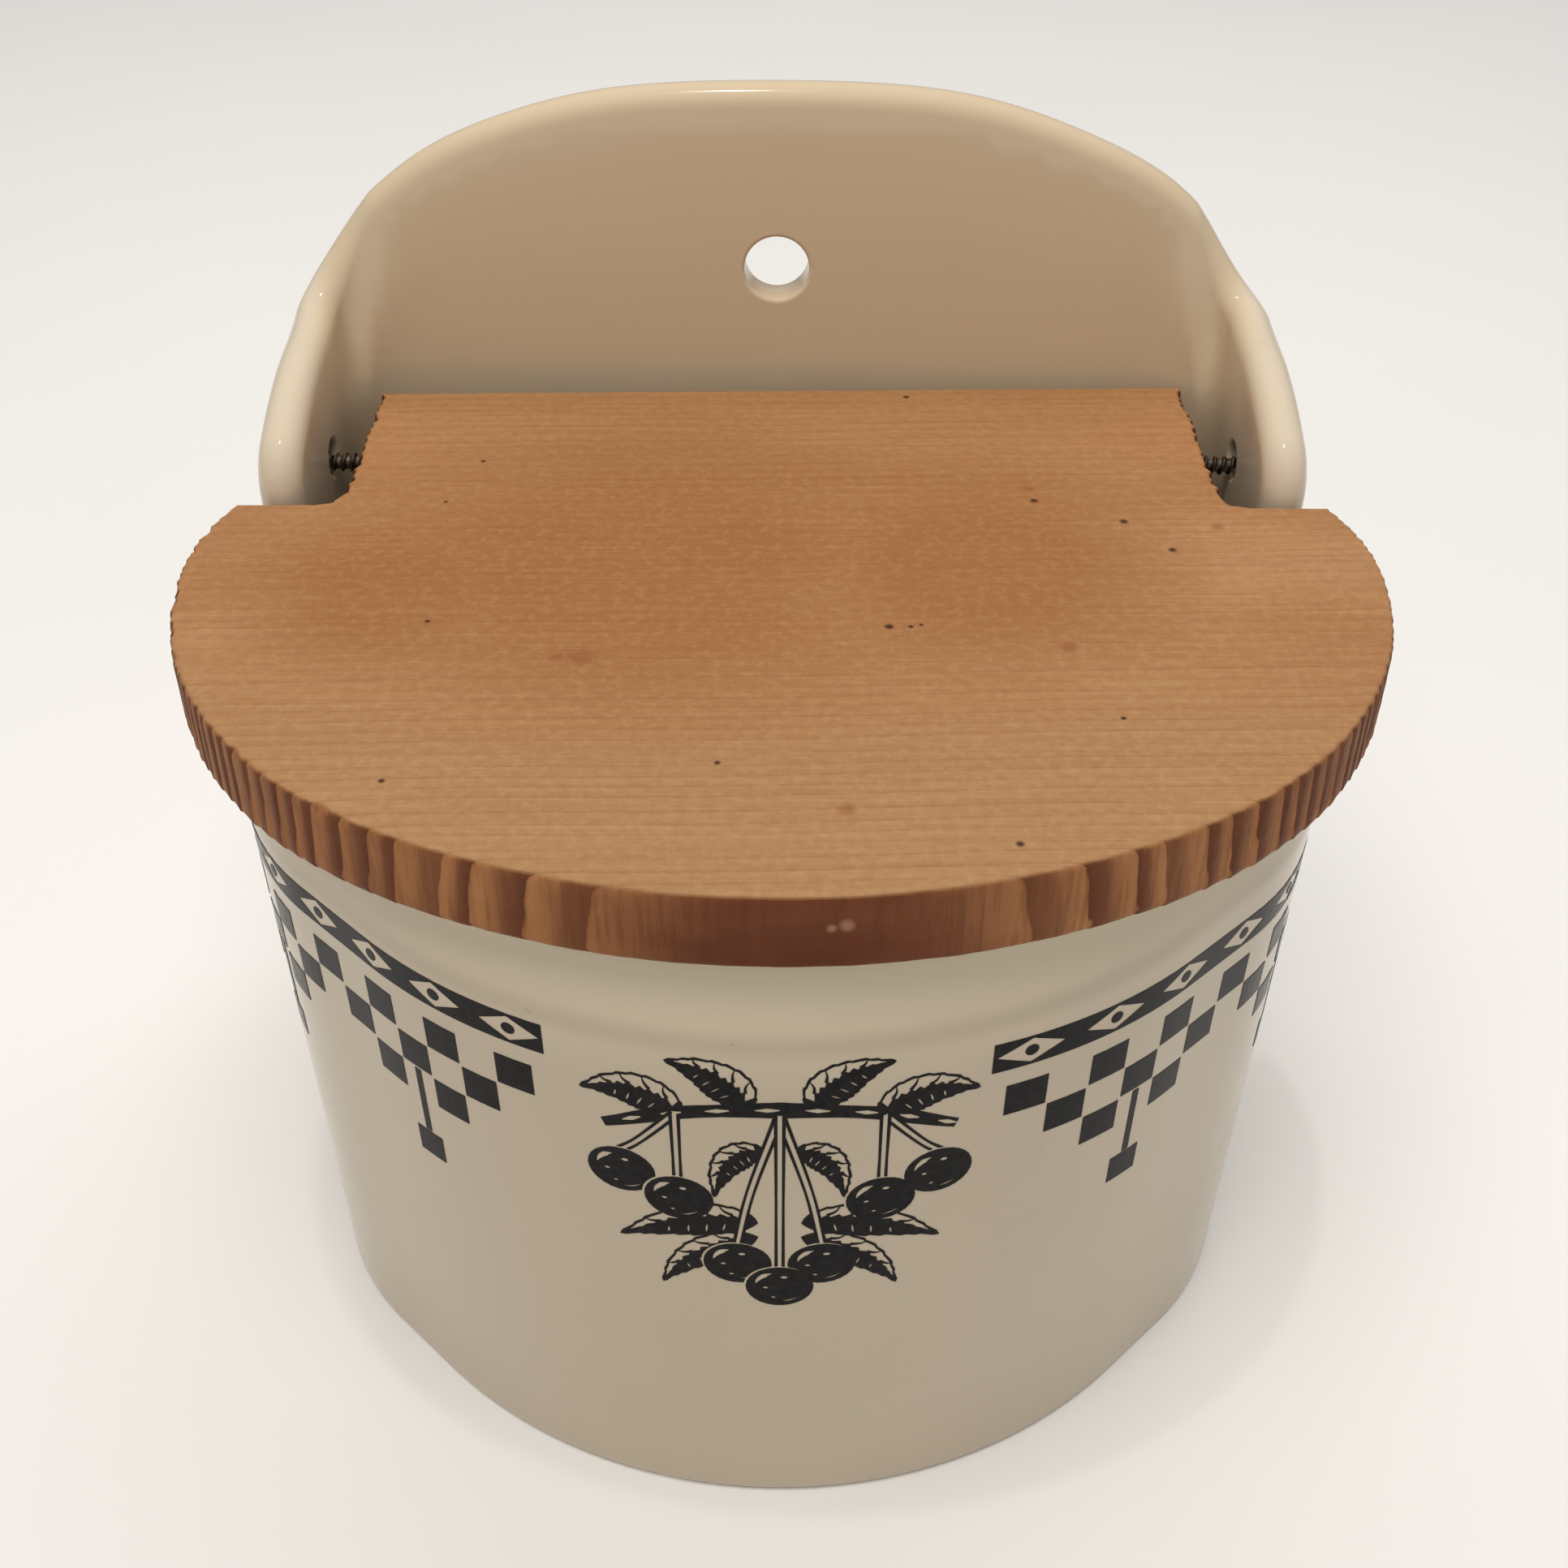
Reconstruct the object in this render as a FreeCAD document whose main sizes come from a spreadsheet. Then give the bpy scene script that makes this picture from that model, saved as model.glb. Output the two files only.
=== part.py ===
import FreeCAD, Part
import Sketcher
import math
import os

# Wall salt box: a glazed D-plan pot cast in one piece with its arched back plate and its two cheeks,
# and a wooden lid board that swings on two wood screws.
# Frame: +X right, +Y to the wall, +Z up. The origin is under the middle of the bounding box, on the
# plane that the pot stands on. Millimetres.

DIMENSIONS = {
    # pot, in plan: flat back, straight sides, two flank arcs and a nose arc
    "back_y": 72.6,
    "pot_half_width": 81.6,
    "flank_centre_y": -1.7,
    "pot_nose_y": -67.7,
    "nose_radius": 82.0,
    "flank_radius": 45.0,
    "corner_radius": 13.0,
    "floor_zero": 0.0,
    # the walls lean out from the base, which has this scale, and are upright above the taper
    "base_scale": 0.97,
    "taper_height": 100.0,
    "wall": 7.0,
    "floor_height": 7.0,
    # heights of the rim, the cheeks and the arched back plate
    "rim_height": 119.1,
    "cheek_height": 145.1,
    "arch_height": 181.0,
    "loft_height": 190.0,
    # cheek outline, seen from the side
    "cheek_front_y": 21.6,
    "cheek_nose_radius": 10.0,
    "cheek_crown_y": 55.1,
    "cheek_crown_radius": 64.6,
    "swoop_radius": 7.0,
    "plate_setback": 0.2,
    "cheek_foot_radius": 0.8,
    # arched outline of the back plate, seen from the front
    "arch_crown_radius": 190.0,
    "arch_shoulder_radius": 30.0,
    "arch_slope_angle": 56.0,
    "arch_foot_radius": 12.0,
    "arch_foot_x": 86.6,
    "lip_fillet": 2.5,
    "inner_fillet": 5.0,
    "base_fillet": 1.5,
    # holes in the pot
    "hanging_hole_radius": 5.5,
    "hanging_hole_x": -1.1,
    "hanging_hole_height": 150.3,
    "cheek_hole_radius": 3.0,
    "cheek_hole_lift": 0.8,
    # lid board
    "lid_half_width": 88.0,
    "lid_nose_y": -72.6,
    "lid_widest_y": 3.6,
    "lid_flank_radius": 72.0,
    "lid_back_radius": 40.0,
    "lid_shoulder_y": 20.4,
    "lid_notch_radius": 3.5,
    "tongue_half_width": 68.8,
    "tongue_left_y": 59.6,
    "tongue_right_y": 63.0,
    "lid_underside": 119.4,
    "lid_thickness": 11.2,
    "lid_arris": 0.5,
    # pivot screws
    "pivot_y": 44.8,
    "pivot_height": 125.0,
    "screw_radius": 1.7,
    "screw_length": 30.0,
    "screw_tip": 4.0,
    "pilot_spare": 1.0,
    "head_radius": 3.5,
    "head_height": 2.3,
    "head_gap": 0.4,
    "recess_width": 0.9,
    "recess_depth": 1.3,
    "recess_length": 4.0,
    "head_rounding": 1.0,
}

UP = FreeCAD.Vector(0, 0, 1)

doc = FreeCAD.newDocument("salt_box")


def make_sheet():
    """Put every driving dimension in the spreadsheet, one row each, with its alias."""
    sheet = doc.addObject("Spreadsheet::Sheet", "Dimensions")
    for row, (alias, value) in enumerate(DIMENSIONS.items(), start=1):
        sheet.set(f"A{row}", alias.replace("_", " "))
        sheet.set(f"B{row}", str(value))
        sheet.setAlias(f"B{row}", alias)
    doc.recompute()
    return sheet


sheet = make_sheet()


def size(alias):
    return float(sheet.get(alias))


def link(obj, path, formula):
    """Bind a property to a formula in the sheet's aliases, each written as <alias>."""
    obj.setExpression(path, formula.replace("<", "Dimensions.").replace(">", ""))


def plane(body, role):
    return [feature for feature in body.Origin.OriginFeatures if feature.Role == role][0]


def new_sketch(body, name, role):
    sketch = body.newObject("Sketcher::SketchObject", name)
    sketch.AttachmentSupport = [(plane(body, role), "")]
    sketch.MapMode = "FlatFace"
    return sketch


def vec(x, y):
    return FreeCAD.Vector(x, y, 0)


def arc(centre, radius, start_deg, end_deg):
    circle = Part.Circle(centre, UP, radius)
    return Part.ArcOfCircle(circle, math.radians(start_deg), math.radians(end_deg))


def measure(sketch, kind, refs, name, value, formula):
    """Add a dimension to a sketch and bind it to the sheet."""
    index = sketch.addConstraint(Sketcher.Constraint(kind, *refs, value))
    sketch.renameConstraint(index, name)
    link(sketch, f"Constraints.{name}", formula)


def half_plan(sketch, inset, inset_formula, scale, scale_formula):
    """Right half of the pot's D plan, inset by a wall, with its front and sides scaled."""
    half = size("pot_half_width") * scale - inset
    back = size("back_y") - inset
    flank_y = size("flank_centre_y")
    corner = size("corner_radius") - inset
    flank = size("flank_radius") * scale - inset
    nose = size("nose_radius") * scale - inset
    nose_y = flank_y + (size("pot_nose_y") - flank_y) * scale + inset
    flank_centre = vec(half - flank, flank_y)
    nose_centre = vec(0, nose_y + nose)
    # the tangent from the nose arc to the flank arc leaves both at this angle
    reach = flank_centre - nose_centre
    lean = math.degrees(math.atan2(-reach.y, reach.x))
    open_angle = lean + math.degrees(math.acos((nose - flank) / reach.Length))
    out = vec(math.cos(math.radians(open_angle)), -math.sin(math.radians(open_angle)))
    lines = [
        Part.LineSegment(vec(0, back), vec(half - corner, back)),
        arc(vec(half - corner, back - corner), corner, 0, 90),
        Part.LineSegment(vec(half, back - corner), vec(half, flank_y)),
        arc(flank_centre, flank, -open_angle, 0),
        Part.LineSegment(flank_centre + out * flank, nose_centre + out * nose),
        arc(nose_centre, nose, -90, -open_angle),
        Part.LineSegment(vec(0, nose_y), vec(0, back)),
    ]
    sketch.addGeometry(lines, False)
    joints = [("Tangent", 0, 2, 1, 2), ("Tangent", 1, 1, 2, 1), ("Tangent", 2, 2, 3, 2),
              ("Tangent", 3, 1, 4, 1), ("Tangent", 4, 2, 5, 2), ("Coincident", 5, 1, 6, 1),
              ("Coincident", 6, 2, 0, 1), ("Horizontal", 0), ("Vertical", 2),
              ("PointOnObject", 6, 1, -2), ("PointOnObject", 6, 2, -2), ("PointOnObject", 5, 3, -2)]
    for joint in joints:
        sketch.addConstraint(Sketcher.Constraint(*joint))
    scaled = f"* {scale_formula} - {inset_formula}"
    depth = f"(<flank_centre_y> - <pot_nose_y>) * {scale_formula}"
    measure(sketch, "DistanceX", (-1, 1, 2, 1), "half_width", half, f"<pot_half_width> {scaled}")
    measure(sketch, "DistanceY", (-1, 1, 0, 1), "back", back, f"<back_y> - {inset_formula}")
    measure(sketch, "DistanceY", (3, 3, 0, 1), "flank_to_back", back - flank_y,
            f"<back_y> - {inset_formula} - <flank_centre_y>")
    measure(sketch, "DistanceY", (6, 1, 0, 1), "depth", back - nose_y,
            f"<back_y> - <flank_centre_y> + {depth} - 2 * {inset_formula}")
    measure(sketch, "Radius", (1,), "corner", corner, f"<corner_radius> - {inset_formula}")
    measure(sketch, "Radius", (3,), "flank", flank, f"<flank_radius> {scaled}")
    measure(sketch, "Radius", (5,), "nose", nose, f"<nose_radius> {scaled}")


def plan_stack(body, name, inset, inset_formula, levels):
    """One plan sketch at each level of a tapering wall, lowest first."""
    sketches = []
    for level, scale_name in levels:
        sketch = new_sketch(body, f"{name}_{level}", "XY_Plane")
        link(sketch, "AttachmentOffset.Base.z", f"<{level}>")
        scale = size(scale_name) if scale_name else 1.0
        half_plan(sketch, inset, inset_formula, scale, f"<{scale_name}>" if scale_name else "1")
        sketches.append(sketch)
    return sketches


def loft(body, kind, name, sketches):
    feature = body.newObject(kind, name)
    feature.Profile = (sketches[0], [""])
    feature.Sections = [(sketch, [""]) for sketch in sketches[1:]]
    feature.Ruled = True
    return feature


def side_outline(sketch):
    """What is cut away above the rim and the cheeks, seen from the side (sketch x is Y, y is Z).

    The swoop up to the back plate ends a little behind the cavity's wall, so that it crosses the
    cavity's rounded corner instead of only touching it."""
    rim = size("rim_height")
    front = size("cheek_front_y")
    foot = size("cheek_foot_radius")
    nose = size("cheek_nose_radius")
    crown = size("cheek_crown_radius")
    crown_y = size("cheek_crown_y")
    top = size("cheek_height")
    plate = size("back_y") - size("wall") + size("plate_setback")
    swoop = size("swoop_radius")
    far = size("loft_height") + 10
    crown_centre = vec(crown_y, top - crown)
    nose_y = front + nose
    slope = math.degrees(math.asin((crown_y - nose_y) / (crown - nose)))
    nose_centre = vec(nose_y, crown_centre.y + (crown - nose) * math.cos(math.radians(slope)))
    start = vec(size("pot_nose_y") - 20, rim)
    sketch.addGeometry([
        Part.LineSegment(start, vec(front - foot, rim)),
        arc(vec(front - foot, rim + foot), foot, -90, 0),
        Part.LineSegment(vec(front, rim + foot), vec(front, nose_centre.y)),
        arc(nose_centre, nose, 90 + slope, 180),
        arc(crown_centre, crown, 90, 90 + slope),
        Part.LineSegment(vec(crown_y, top), vec(plate - swoop, top)),
        arc(vec(plate - swoop, top + swoop), swoop, -90, 0),
        Part.LineSegment(vec(plate, top + swoop), vec(plate, far)),
        Part.LineSegment(vec(plate, far), vec(start.x, far)),
        Part.LineSegment(vec(start.x, far), start),
    ], False)
    for joint in [("Tangent", 0, 2, 1, 1), ("Tangent", 1, 2, 2, 1), ("Tangent", 2, 2, 3, 2),
                  ("Tangent", 3, 1, 4, 2), ("Tangent", 4, 1, 5, 1), ("Tangent", 5, 2, 6, 1),
                  ("Tangent", 6, 2, 7, 1), ("Coincident", 7, 2, 8, 1), ("Coincident", 8, 2, 9, 1),
                  ("Coincident", 9, 2, 0, 1), ("Horizontal", 0), ("Vertical", 2), ("Horizontal", 5),
                  ("Vertical", 7), ("Horizontal", 8), ("Vertical", 9)]:
        sketch.addConstraint(Sketcher.Constraint(*joint))
    measure(sketch, "DistanceY", (-1, 1, 0, 1), "rim", rim, "<rim_height>")
    measure(sketch, "DistanceX", (0, 1, -1, 1), "reach", -start.x, "20 - <pot_nose_y>")
    measure(sketch, "DistanceX", (-1, 1, 2, 1), "front", front, "<cheek_front_y>")
    measure(sketch, "Radius", (1,), "foot", foot, "<cheek_foot_radius>")
    measure(sketch, "Radius", (3,), "nose", nose, "<cheek_nose_radius>")
    measure(sketch, "Radius", (4,), "crown", crown, "<cheek_crown_radius>")
    measure(sketch, "DistanceX", (-1, 1, 4, 3), "crown_y", crown_y, "<cheek_crown_y>")
    measure(sketch, "DistanceY", (-1, 1, 5, 1), "top", top, "<cheek_height>")
    measure(sketch, "Radius", (6,), "swoop", swoop, "<swoop_radius>")
    measure(sketch, "DistanceX", (-1, 1, 7, 1), "plate", plate,
            "<back_y> - <wall> + <plate_setback>")
    measure(sketch, "DistanceY", (-1, 1, 8, 1), "far", far, "<loft_height> + 10")


def arch_outline(sketch):
    """What is cut away above the arched back plate, right half (sketch x is X, y is Z)."""
    top = size("arch_height")
    crown = size("arch_crown_radius")
    shoulder = size("arch_shoulder_radius")
    angle = size("arch_slope_angle")
    foot = size("arch_foot_radius")
    foot_x = size("arch_foot_x")
    level = size("cheek_height")
    far = size("loft_height") + 10
    wide = foot_x + 10
    out = vec(math.sin(math.radians(angle)), math.cos(math.radians(angle)))
    foot_centre = vec(foot_x, level + foot)
    slope_end = foot_centre - out * foot
    crown_centre = vec(0, top - crown)
    # the shoulder's centre lies on the offset of the slope line and inside the crown circle
    along = vec(-out.y, out.x)
    base = slope_end - out * shoulder - crown_centre
    half = base.dot(along)
    run = -half + math.sqrt(half * half - base.dot(base) + (crown - shoulder) ** 2)
    shoulder_centre = crown_centre + base + along * run
    lean = math.degrees(math.atan2(*(shoulder_centre - crown_centre)[:2][::-1]))
    sketch.addGeometry([
        arc(crown_centre, crown, lean, 90),
        arc(shoulder_centre, shoulder, 90 - angle, lean),
        Part.LineSegment(shoulder_centre + out * shoulder, slope_end),
        arc(foot_centre, foot, 270 - angle, 270),
        Part.LineSegment(vec(foot_x, level), vec(wide, level)),
        Part.LineSegment(vec(wide, level), vec(wide, far)),
        Part.LineSegment(vec(wide, far), vec(0, far)),
        Part.LineSegment(vec(0, far), vec(0, top)),
    ], False)
    for joint in [("Tangent", 0, 1, 1, 2), ("Tangent", 1, 1, 2, 1), ("Tangent", 2, 2, 3, 1),
                  ("Tangent", 3, 2, 4, 1), ("Coincident", 4, 2, 5, 1), ("Coincident", 5, 2, 6, 1),
                  ("Coincident", 6, 2, 7, 1), ("Coincident", 7, 2, 0, 2), ("Horizontal", 4),
                  ("Vertical", 5), ("Horizontal", 6), ("PointOnObject", 7, 1, -2),
                  ("PointOnObject", 7, 2, -2), ("PointOnObject", 0, 3, -2)]:
        sketch.addConstraint(Sketcher.Constraint(*joint))
    measure(sketch, "Radius", (0,), "crown", crown, "<arch_crown_radius>")
    measure(sketch, "Radius", (1,), "shoulder", shoulder, "<arch_shoulder_radius>")
    measure(sketch, "Radius", (3,), "foot", foot, "<arch_foot_radius>")
    measure(sketch, "DistanceX", (-1, 1, 4, 1), "foot_x", foot_x, "<arch_foot_x>")
    measure(sketch, "DistanceY", (-1, 1, 4, 1), "level", level, "<cheek_height>")
    measure(sketch, "DistanceY", (-1, 1, 7, 2), "top", top, "<arch_height>")
    measure(sketch, "DistanceX", (-1, 1, 5, 1), "wide", wide, "<arch_foot_x> + 10")
    measure(sketch, "DistanceY", (-1, 1, 6, 1), "far", far, "<loft_height> + 10")
    slope = math.radians(-angle)
    measure(sketch, "Angle", (2,), "slope", slope, "-1 deg * <arch_slope_angle>")


def pocket(body, name, sketch, length_formula, both_ways):
    feature = body.newObject("PartDesign::Pocket", name)
    feature.Profile = sketch
    feature.Type = "Length"
    link(feature, "Length", length_formula)
    feature.Midplane = both_ways
    return feature


def pad(body, name, sketch, length_formula):
    feature = body.newObject("PartDesign::Pad", name)
    feature.Profile = sketch
    link(feature, "Length", length_formula)
    return feature


def round_edges(body, name, base, edges, radius_formula):
    feature = body.newObject("PartDesign::Fillet", name)
    feature.Base = (base, edges)
    link(feature, "Radius", radius_formula)
    doc.recompute()
    return feature


def mirror(body, name, mode, originals=()):
    feature = body.newObject("PartDesign::Mirrored", name)
    feature.TransformMode = mode
    feature.Originals = list(originals)
    feature.MirrorPlane = (plane(body, "YZ_Plane"), [""])
    body.Tip = feature
    doc.recompute()
    return feature


def middle(edge):
    return edge.valueAt((edge.FirstParameter + edge.LastParameter) / 2)


def edge_names(shape, wanted):
    """Names of the edges whose middle point, and the angle between their two faces, are wanted."""
    names = []
    for number, edge in enumerate(shape.Edges, start=1):
        point = middle(edge)
        normals = []
        for face in shape.ancestorsOfType(edge, Part.Face):
            normals.append(face.normalAt(*face.Surface.parameter(point)))
        if len(normals) == 2 and wanted(point, math.degrees(normals[0].getAngle(normals[1]))):
            names.append(f"Edge{number}")
    return names


def circle_sketch(body, name, role, offset_formula, centre, centre_formulas, radius_formula, radius):
    """One circle on a plane of the body, moved along the plane's normal."""
    sketch = new_sketch(body, name, role)
    link(sketch, "AttachmentOffset.Base.z", offset_formula)
    sketch.addGeometry([Part.Circle(vec(*centre), UP, radius)], False)
    kinds = [("DistanceX", "across", centre[0]), ("DistanceY", "up", centre[1])]
    for (kind, label, value), formula in zip(kinds, centre_formulas):
        refs = (-1, 1, 0, 3)
        if value < 0:
            refs = (0, 3, -1, 1)
            formula = f"-1 * ({formula})"
        measure(sketch, kind, refs, label, abs(value), formula)
    measure(sketch, "Radius", (0,), "radius", radius, radius_formula)
    return sketch


def make_ceramic_box():
    """Right half of the pot with all its roundings, mirrored whole, then the three holes."""
    body = doc.addObject("PartDesign::Body", "ceramic_box")
    levels = [("floor_zero", "base_scale"), ("taper_height", None), ("loft_height", None)]
    outer = plan_stack(body, "outer_plan", 0, "0", levels)
    loft(body, "PartDesign::AdditiveLoft", "outer_wall", outer)
    levels[0] = ("floor_height", "base_scale")
    inner = plan_stack(body, "inner_plan", size("wall"), "<wall>", levels)
    loft(body, "PartDesign::SubtractiveLoft", "cavity", inner)

    side = new_sketch(body, "side_outline", "YZ_Plane")
    side_outline(side)
    pocket(body, "rim_cut", side, "4 * <lid_half_width>", True)
    front = new_sketch(body, "arch_outline", "XZ_Plane")
    arch_outline(front)
    cut = pocket(body, "arch_cut", front, "4 * <lid_half_width>", True)
    doc.recompute()

    # every square edge of the rim, the cheeks and the arch, but not where a cheek meets the plate
    swoop_top = size("cheek_height") + size("swoop_radius")
    corner_y = size("back_y") - size("corner_radius")

    def is_lip(point, angle):
        in_corner = point.y > corner_y and point.z < swoop_top
        above = point.z > size("rim_height") - 1
        return above and not in_corner and point.x > 1 and 80 < angle < 100

    def at_height(level):
        return lambda point, angle: abs(point.z - level) < 0.01 and point.x > 1

    lip = round_edges(body, "lip", cut, edge_names(cut.Shape, is_lip), "<lip_fillet>")
    foot = round_edges(body, "foot", lip, edge_names(lip.Shape, at_height(0)), "<base_fillet>")
    floor_level = at_height(size("floor_height"))
    floor = round_edges(body, "floor", foot, edge_names(foot.Shape, floor_level), "<inner_fillet>")
    half_volume = floor.Shape.Volume
    whole = mirror(body, "both_halves", "Whole shape")
    check_volume("both_halves", whole.Shape, 2 * half_volume, 5)

    # the hanging hole goes through the back plate, the cheek holes through both cheeks
    hanging = circle_sketch(
        body, "hanging_circle", "XZ_Plane", "<wall> + 2 - <back_y>",
        (size("hanging_hole_x"), size("hanging_hole_height")),
        ("<hanging_hole_x>", "<hanging_hole_height>"), "<hanging_hole_radius>",
        size("hanging_hole_radius"))
    pocket(body, "hanging_hole", hanging, "<wall> + 4", False)
    cheek = circle_sketch(
        body, "cheek_circle", "YZ_Plane", "0",
        (size("pivot_y"), size("pivot_height") + size("cheek_hole_lift")),
        ("<pivot_y>", "<pivot_height> + <cheek_hole_lift>"), "<cheek_hole_radius>",
        size("cheek_hole_radius"))
    pocket(body, "cheek_holes", cheek, "4 * <lid_half_width>", True)
    doc.recompute()
    plate_thickness = size("wall") - size("plate_setback")
    hanging_volume = math.pi * size("hanging_hole_radius") ** 2 * plate_thickness
    cheek_volume = 2 * math.pi * size("cheek_hole_radius") ** 2 * size("wall")
    check_volume("holes", body.Shape, 2 * half_volume - hanging_volume - cheek_volume, 25)
    return body


def check_volume(name, shape, expected, slack):
    """Stop when a feature has not added or removed what it should have."""
    if abs(shape.Volume - expected) > slack:
        raise ValueError(f"{name}: volume {shape.Volume:.0f}, expected {expected:.0f}")


def lid_outline(sketch):
    """Outline of the lid board, anticlockwise from its nose, with the tongue at the back."""
    half = size("lid_half_width")
    widest = size("lid_widest_y")
    nose_y = size("lid_nose_y")
    flank = size("lid_flank_radius")
    back = size("lid_back_radius")
    shoulder = size("lid_shoulder_y")
    notch = size("lid_notch_radius")
    tongue = size("tongue_half_width")
    depth = widest - nose_y
    inset = half - flank
    # the nose arc holds both flank arcs, which fixes its radius
    nose = (inset ** 2 + depth ** 2 - flank ** 2) / (2 * (depth - flank))
    nose_centre = vec(0, nose_y + nose)
    lean = math.degrees(math.atan2(nose_centre.y - widest, inset))
    rise = math.degrees(math.asin((shoulder - widest) / back))
    shoulder_x = half - back + back * math.cos(math.radians(rise))
    sketch.addGeometry([
        arc(nose_centre, nose, -180 + lean, -lean),
        arc(vec(inset, widest), flank, -lean, 0),
        arc(vec(half - back, widest), back, 0, rise),
        Part.LineSegment(vec(shoulder_x, shoulder), vec(tongue + notch, shoulder)),
        arc(vec(tongue + notch, shoulder + notch), notch, 180, 270),
        Part.LineSegment(vec(tongue, shoulder + notch), vec(tongue, size("tongue_right_y"))),
        Part.LineSegment(vec(tongue, size("tongue_right_y")), vec(-tongue, size("tongue_left_y"))),
        Part.LineSegment(vec(-tongue, size("tongue_left_y")), vec(-tongue, shoulder + notch)),
        arc(vec(-tongue - notch, shoulder + notch), notch, 270, 360),
        Part.LineSegment(vec(-tongue - notch, shoulder), vec(-shoulder_x, shoulder)),
        arc(vec(back - half, widest), back, 180 - rise, 180),
        arc(vec(-inset, widest), flank, 180, 180 + lean),
    ], False)
    for joint in [("Tangent", 0, 2, 1, 1), ("Tangent", 1, 2, 2, 1), ("Coincident", 2, 2, 3, 1),
                  ("Tangent", 3, 2, 4, 2), ("Tangent", 4, 1, 5, 1), ("Coincident", 5, 2, 6, 1),
                  ("Coincident", 6, 2, 7, 1), ("Tangent", 7, 2, 8, 2), ("Tangent", 8, 1, 9, 1),
                  ("Coincident", 9, 2, 10, 1), ("Tangent", 10, 2, 11, 1), ("Tangent", 11, 2, 0, 1),
                  ("Horizontal", 3), ("Horizontal", 9), ("Vertical", 5), ("Vertical", 7),
                  ("Equal", 1, 11), ("Equal", 2, 10), ("Equal", 4, 8),
                  ("Horizontal", 1, 3, 2, 3), ("Horizontal", 11, 3, 10, 3),
                  ("Symmetric", 1, 3, 11, 3, -2), ("Horizontal", 3, 1, 9, 2)]:
        sketch.addConstraint(Sketcher.Constraint(*joint))
    measure(sketch, "DistanceX", (-1, 1, 1, 2), "half", half, "<lid_half_width>")
    measure(sketch, "DistanceY", (-1, 1, 1, 3), "widest", widest, "<lid_widest_y>")
    measure(sketch, "Radius", (1,), "flank", flank, "<lid_flank_radius>")
    measure(sketch, "Radius", (2,), "back", back, "<lid_back_radius>")
    measure(sketch, "Radius", (4,), "notch", notch, "<lid_notch_radius>")
    measure(sketch, "DistanceY", (-1, 1, 3, 1), "shoulder", shoulder, "<lid_shoulder_y>")
    measure(sketch, "Radius", (0,), "nose", nose,
            "((<lid_half_width> - <lid_flank_radius>)^2 + (<lid_widest_y> - <lid_nose_y>)^2"
            " - <lid_flank_radius>^2) / (2 * (<lid_widest_y> - <lid_nose_y> - <lid_flank_radius>))")
    measure(sketch, "DistanceX", (-1, 1, 5, 1), "tongue_right", tongue, "<tongue_half_width>")
    measure(sketch, "DistanceX", (7, 2, -1, 1), "tongue_left", tongue, "<tongue_half_width>")
    for end, side in [(1, "right"), (2, "left")]:
        measure(sketch, "DistanceY", (-1, 1, 6, end), f"rear_{side}", size(f"tongue_{side}_y"),
                f"<tongue_{side}_y>")


def make_lid_board():
    """The board with its arrises broken and a pilot hole in each side of the tongue."""
    body = doc.addObject("PartDesign::Body", "lid_board")
    outline = new_sketch(body, "outline", "XY_Plane")
    link(outline, "AttachmentOffset.Base.z", "<lid_underside>")
    lid_outline(outline)
    board = pad(body, "board", outline, "<lid_thickness>")
    doc.recompute()
    faces = (size("lid_underside"), size("lid_underside") + size("lid_thickness"))

    def is_arris(point, angle):
        return any(abs(point.z - level) < 0.01 for level in faces)

    arris = round_edges(body, "arris", board, edge_names(board.Shape, is_arris), "<lid_arris>")
    pilot_circle = circle_sketch(
        body, "pilot_circle", "YZ_Plane",
        "<pot_half_width> + <head_gap> - <screw_length> - <pilot_spare>",
        (size("pivot_y"), size("pivot_height")), ("<pivot_y>", "<pivot_height>"),
        "<screw_radius>", size("screw_radius"))
    pilot = pocket(body, "pilot_right", pilot_circle, "<screw_length>", False)
    pilot.Reversed = True
    doc.recompute()
    one_hole = arris.Shape.Volume - pilot.Shape.Volume
    both = mirror(body, "pilot_holes", "Features", [pilot])
    check_volume("pilot_holes", both.Shape, arris.Shape.Volume - 2 * one_hole, 5)
    if one_hole < 100:
        raise ValueError("the pilot hole has missed the board")
    return body


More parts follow.
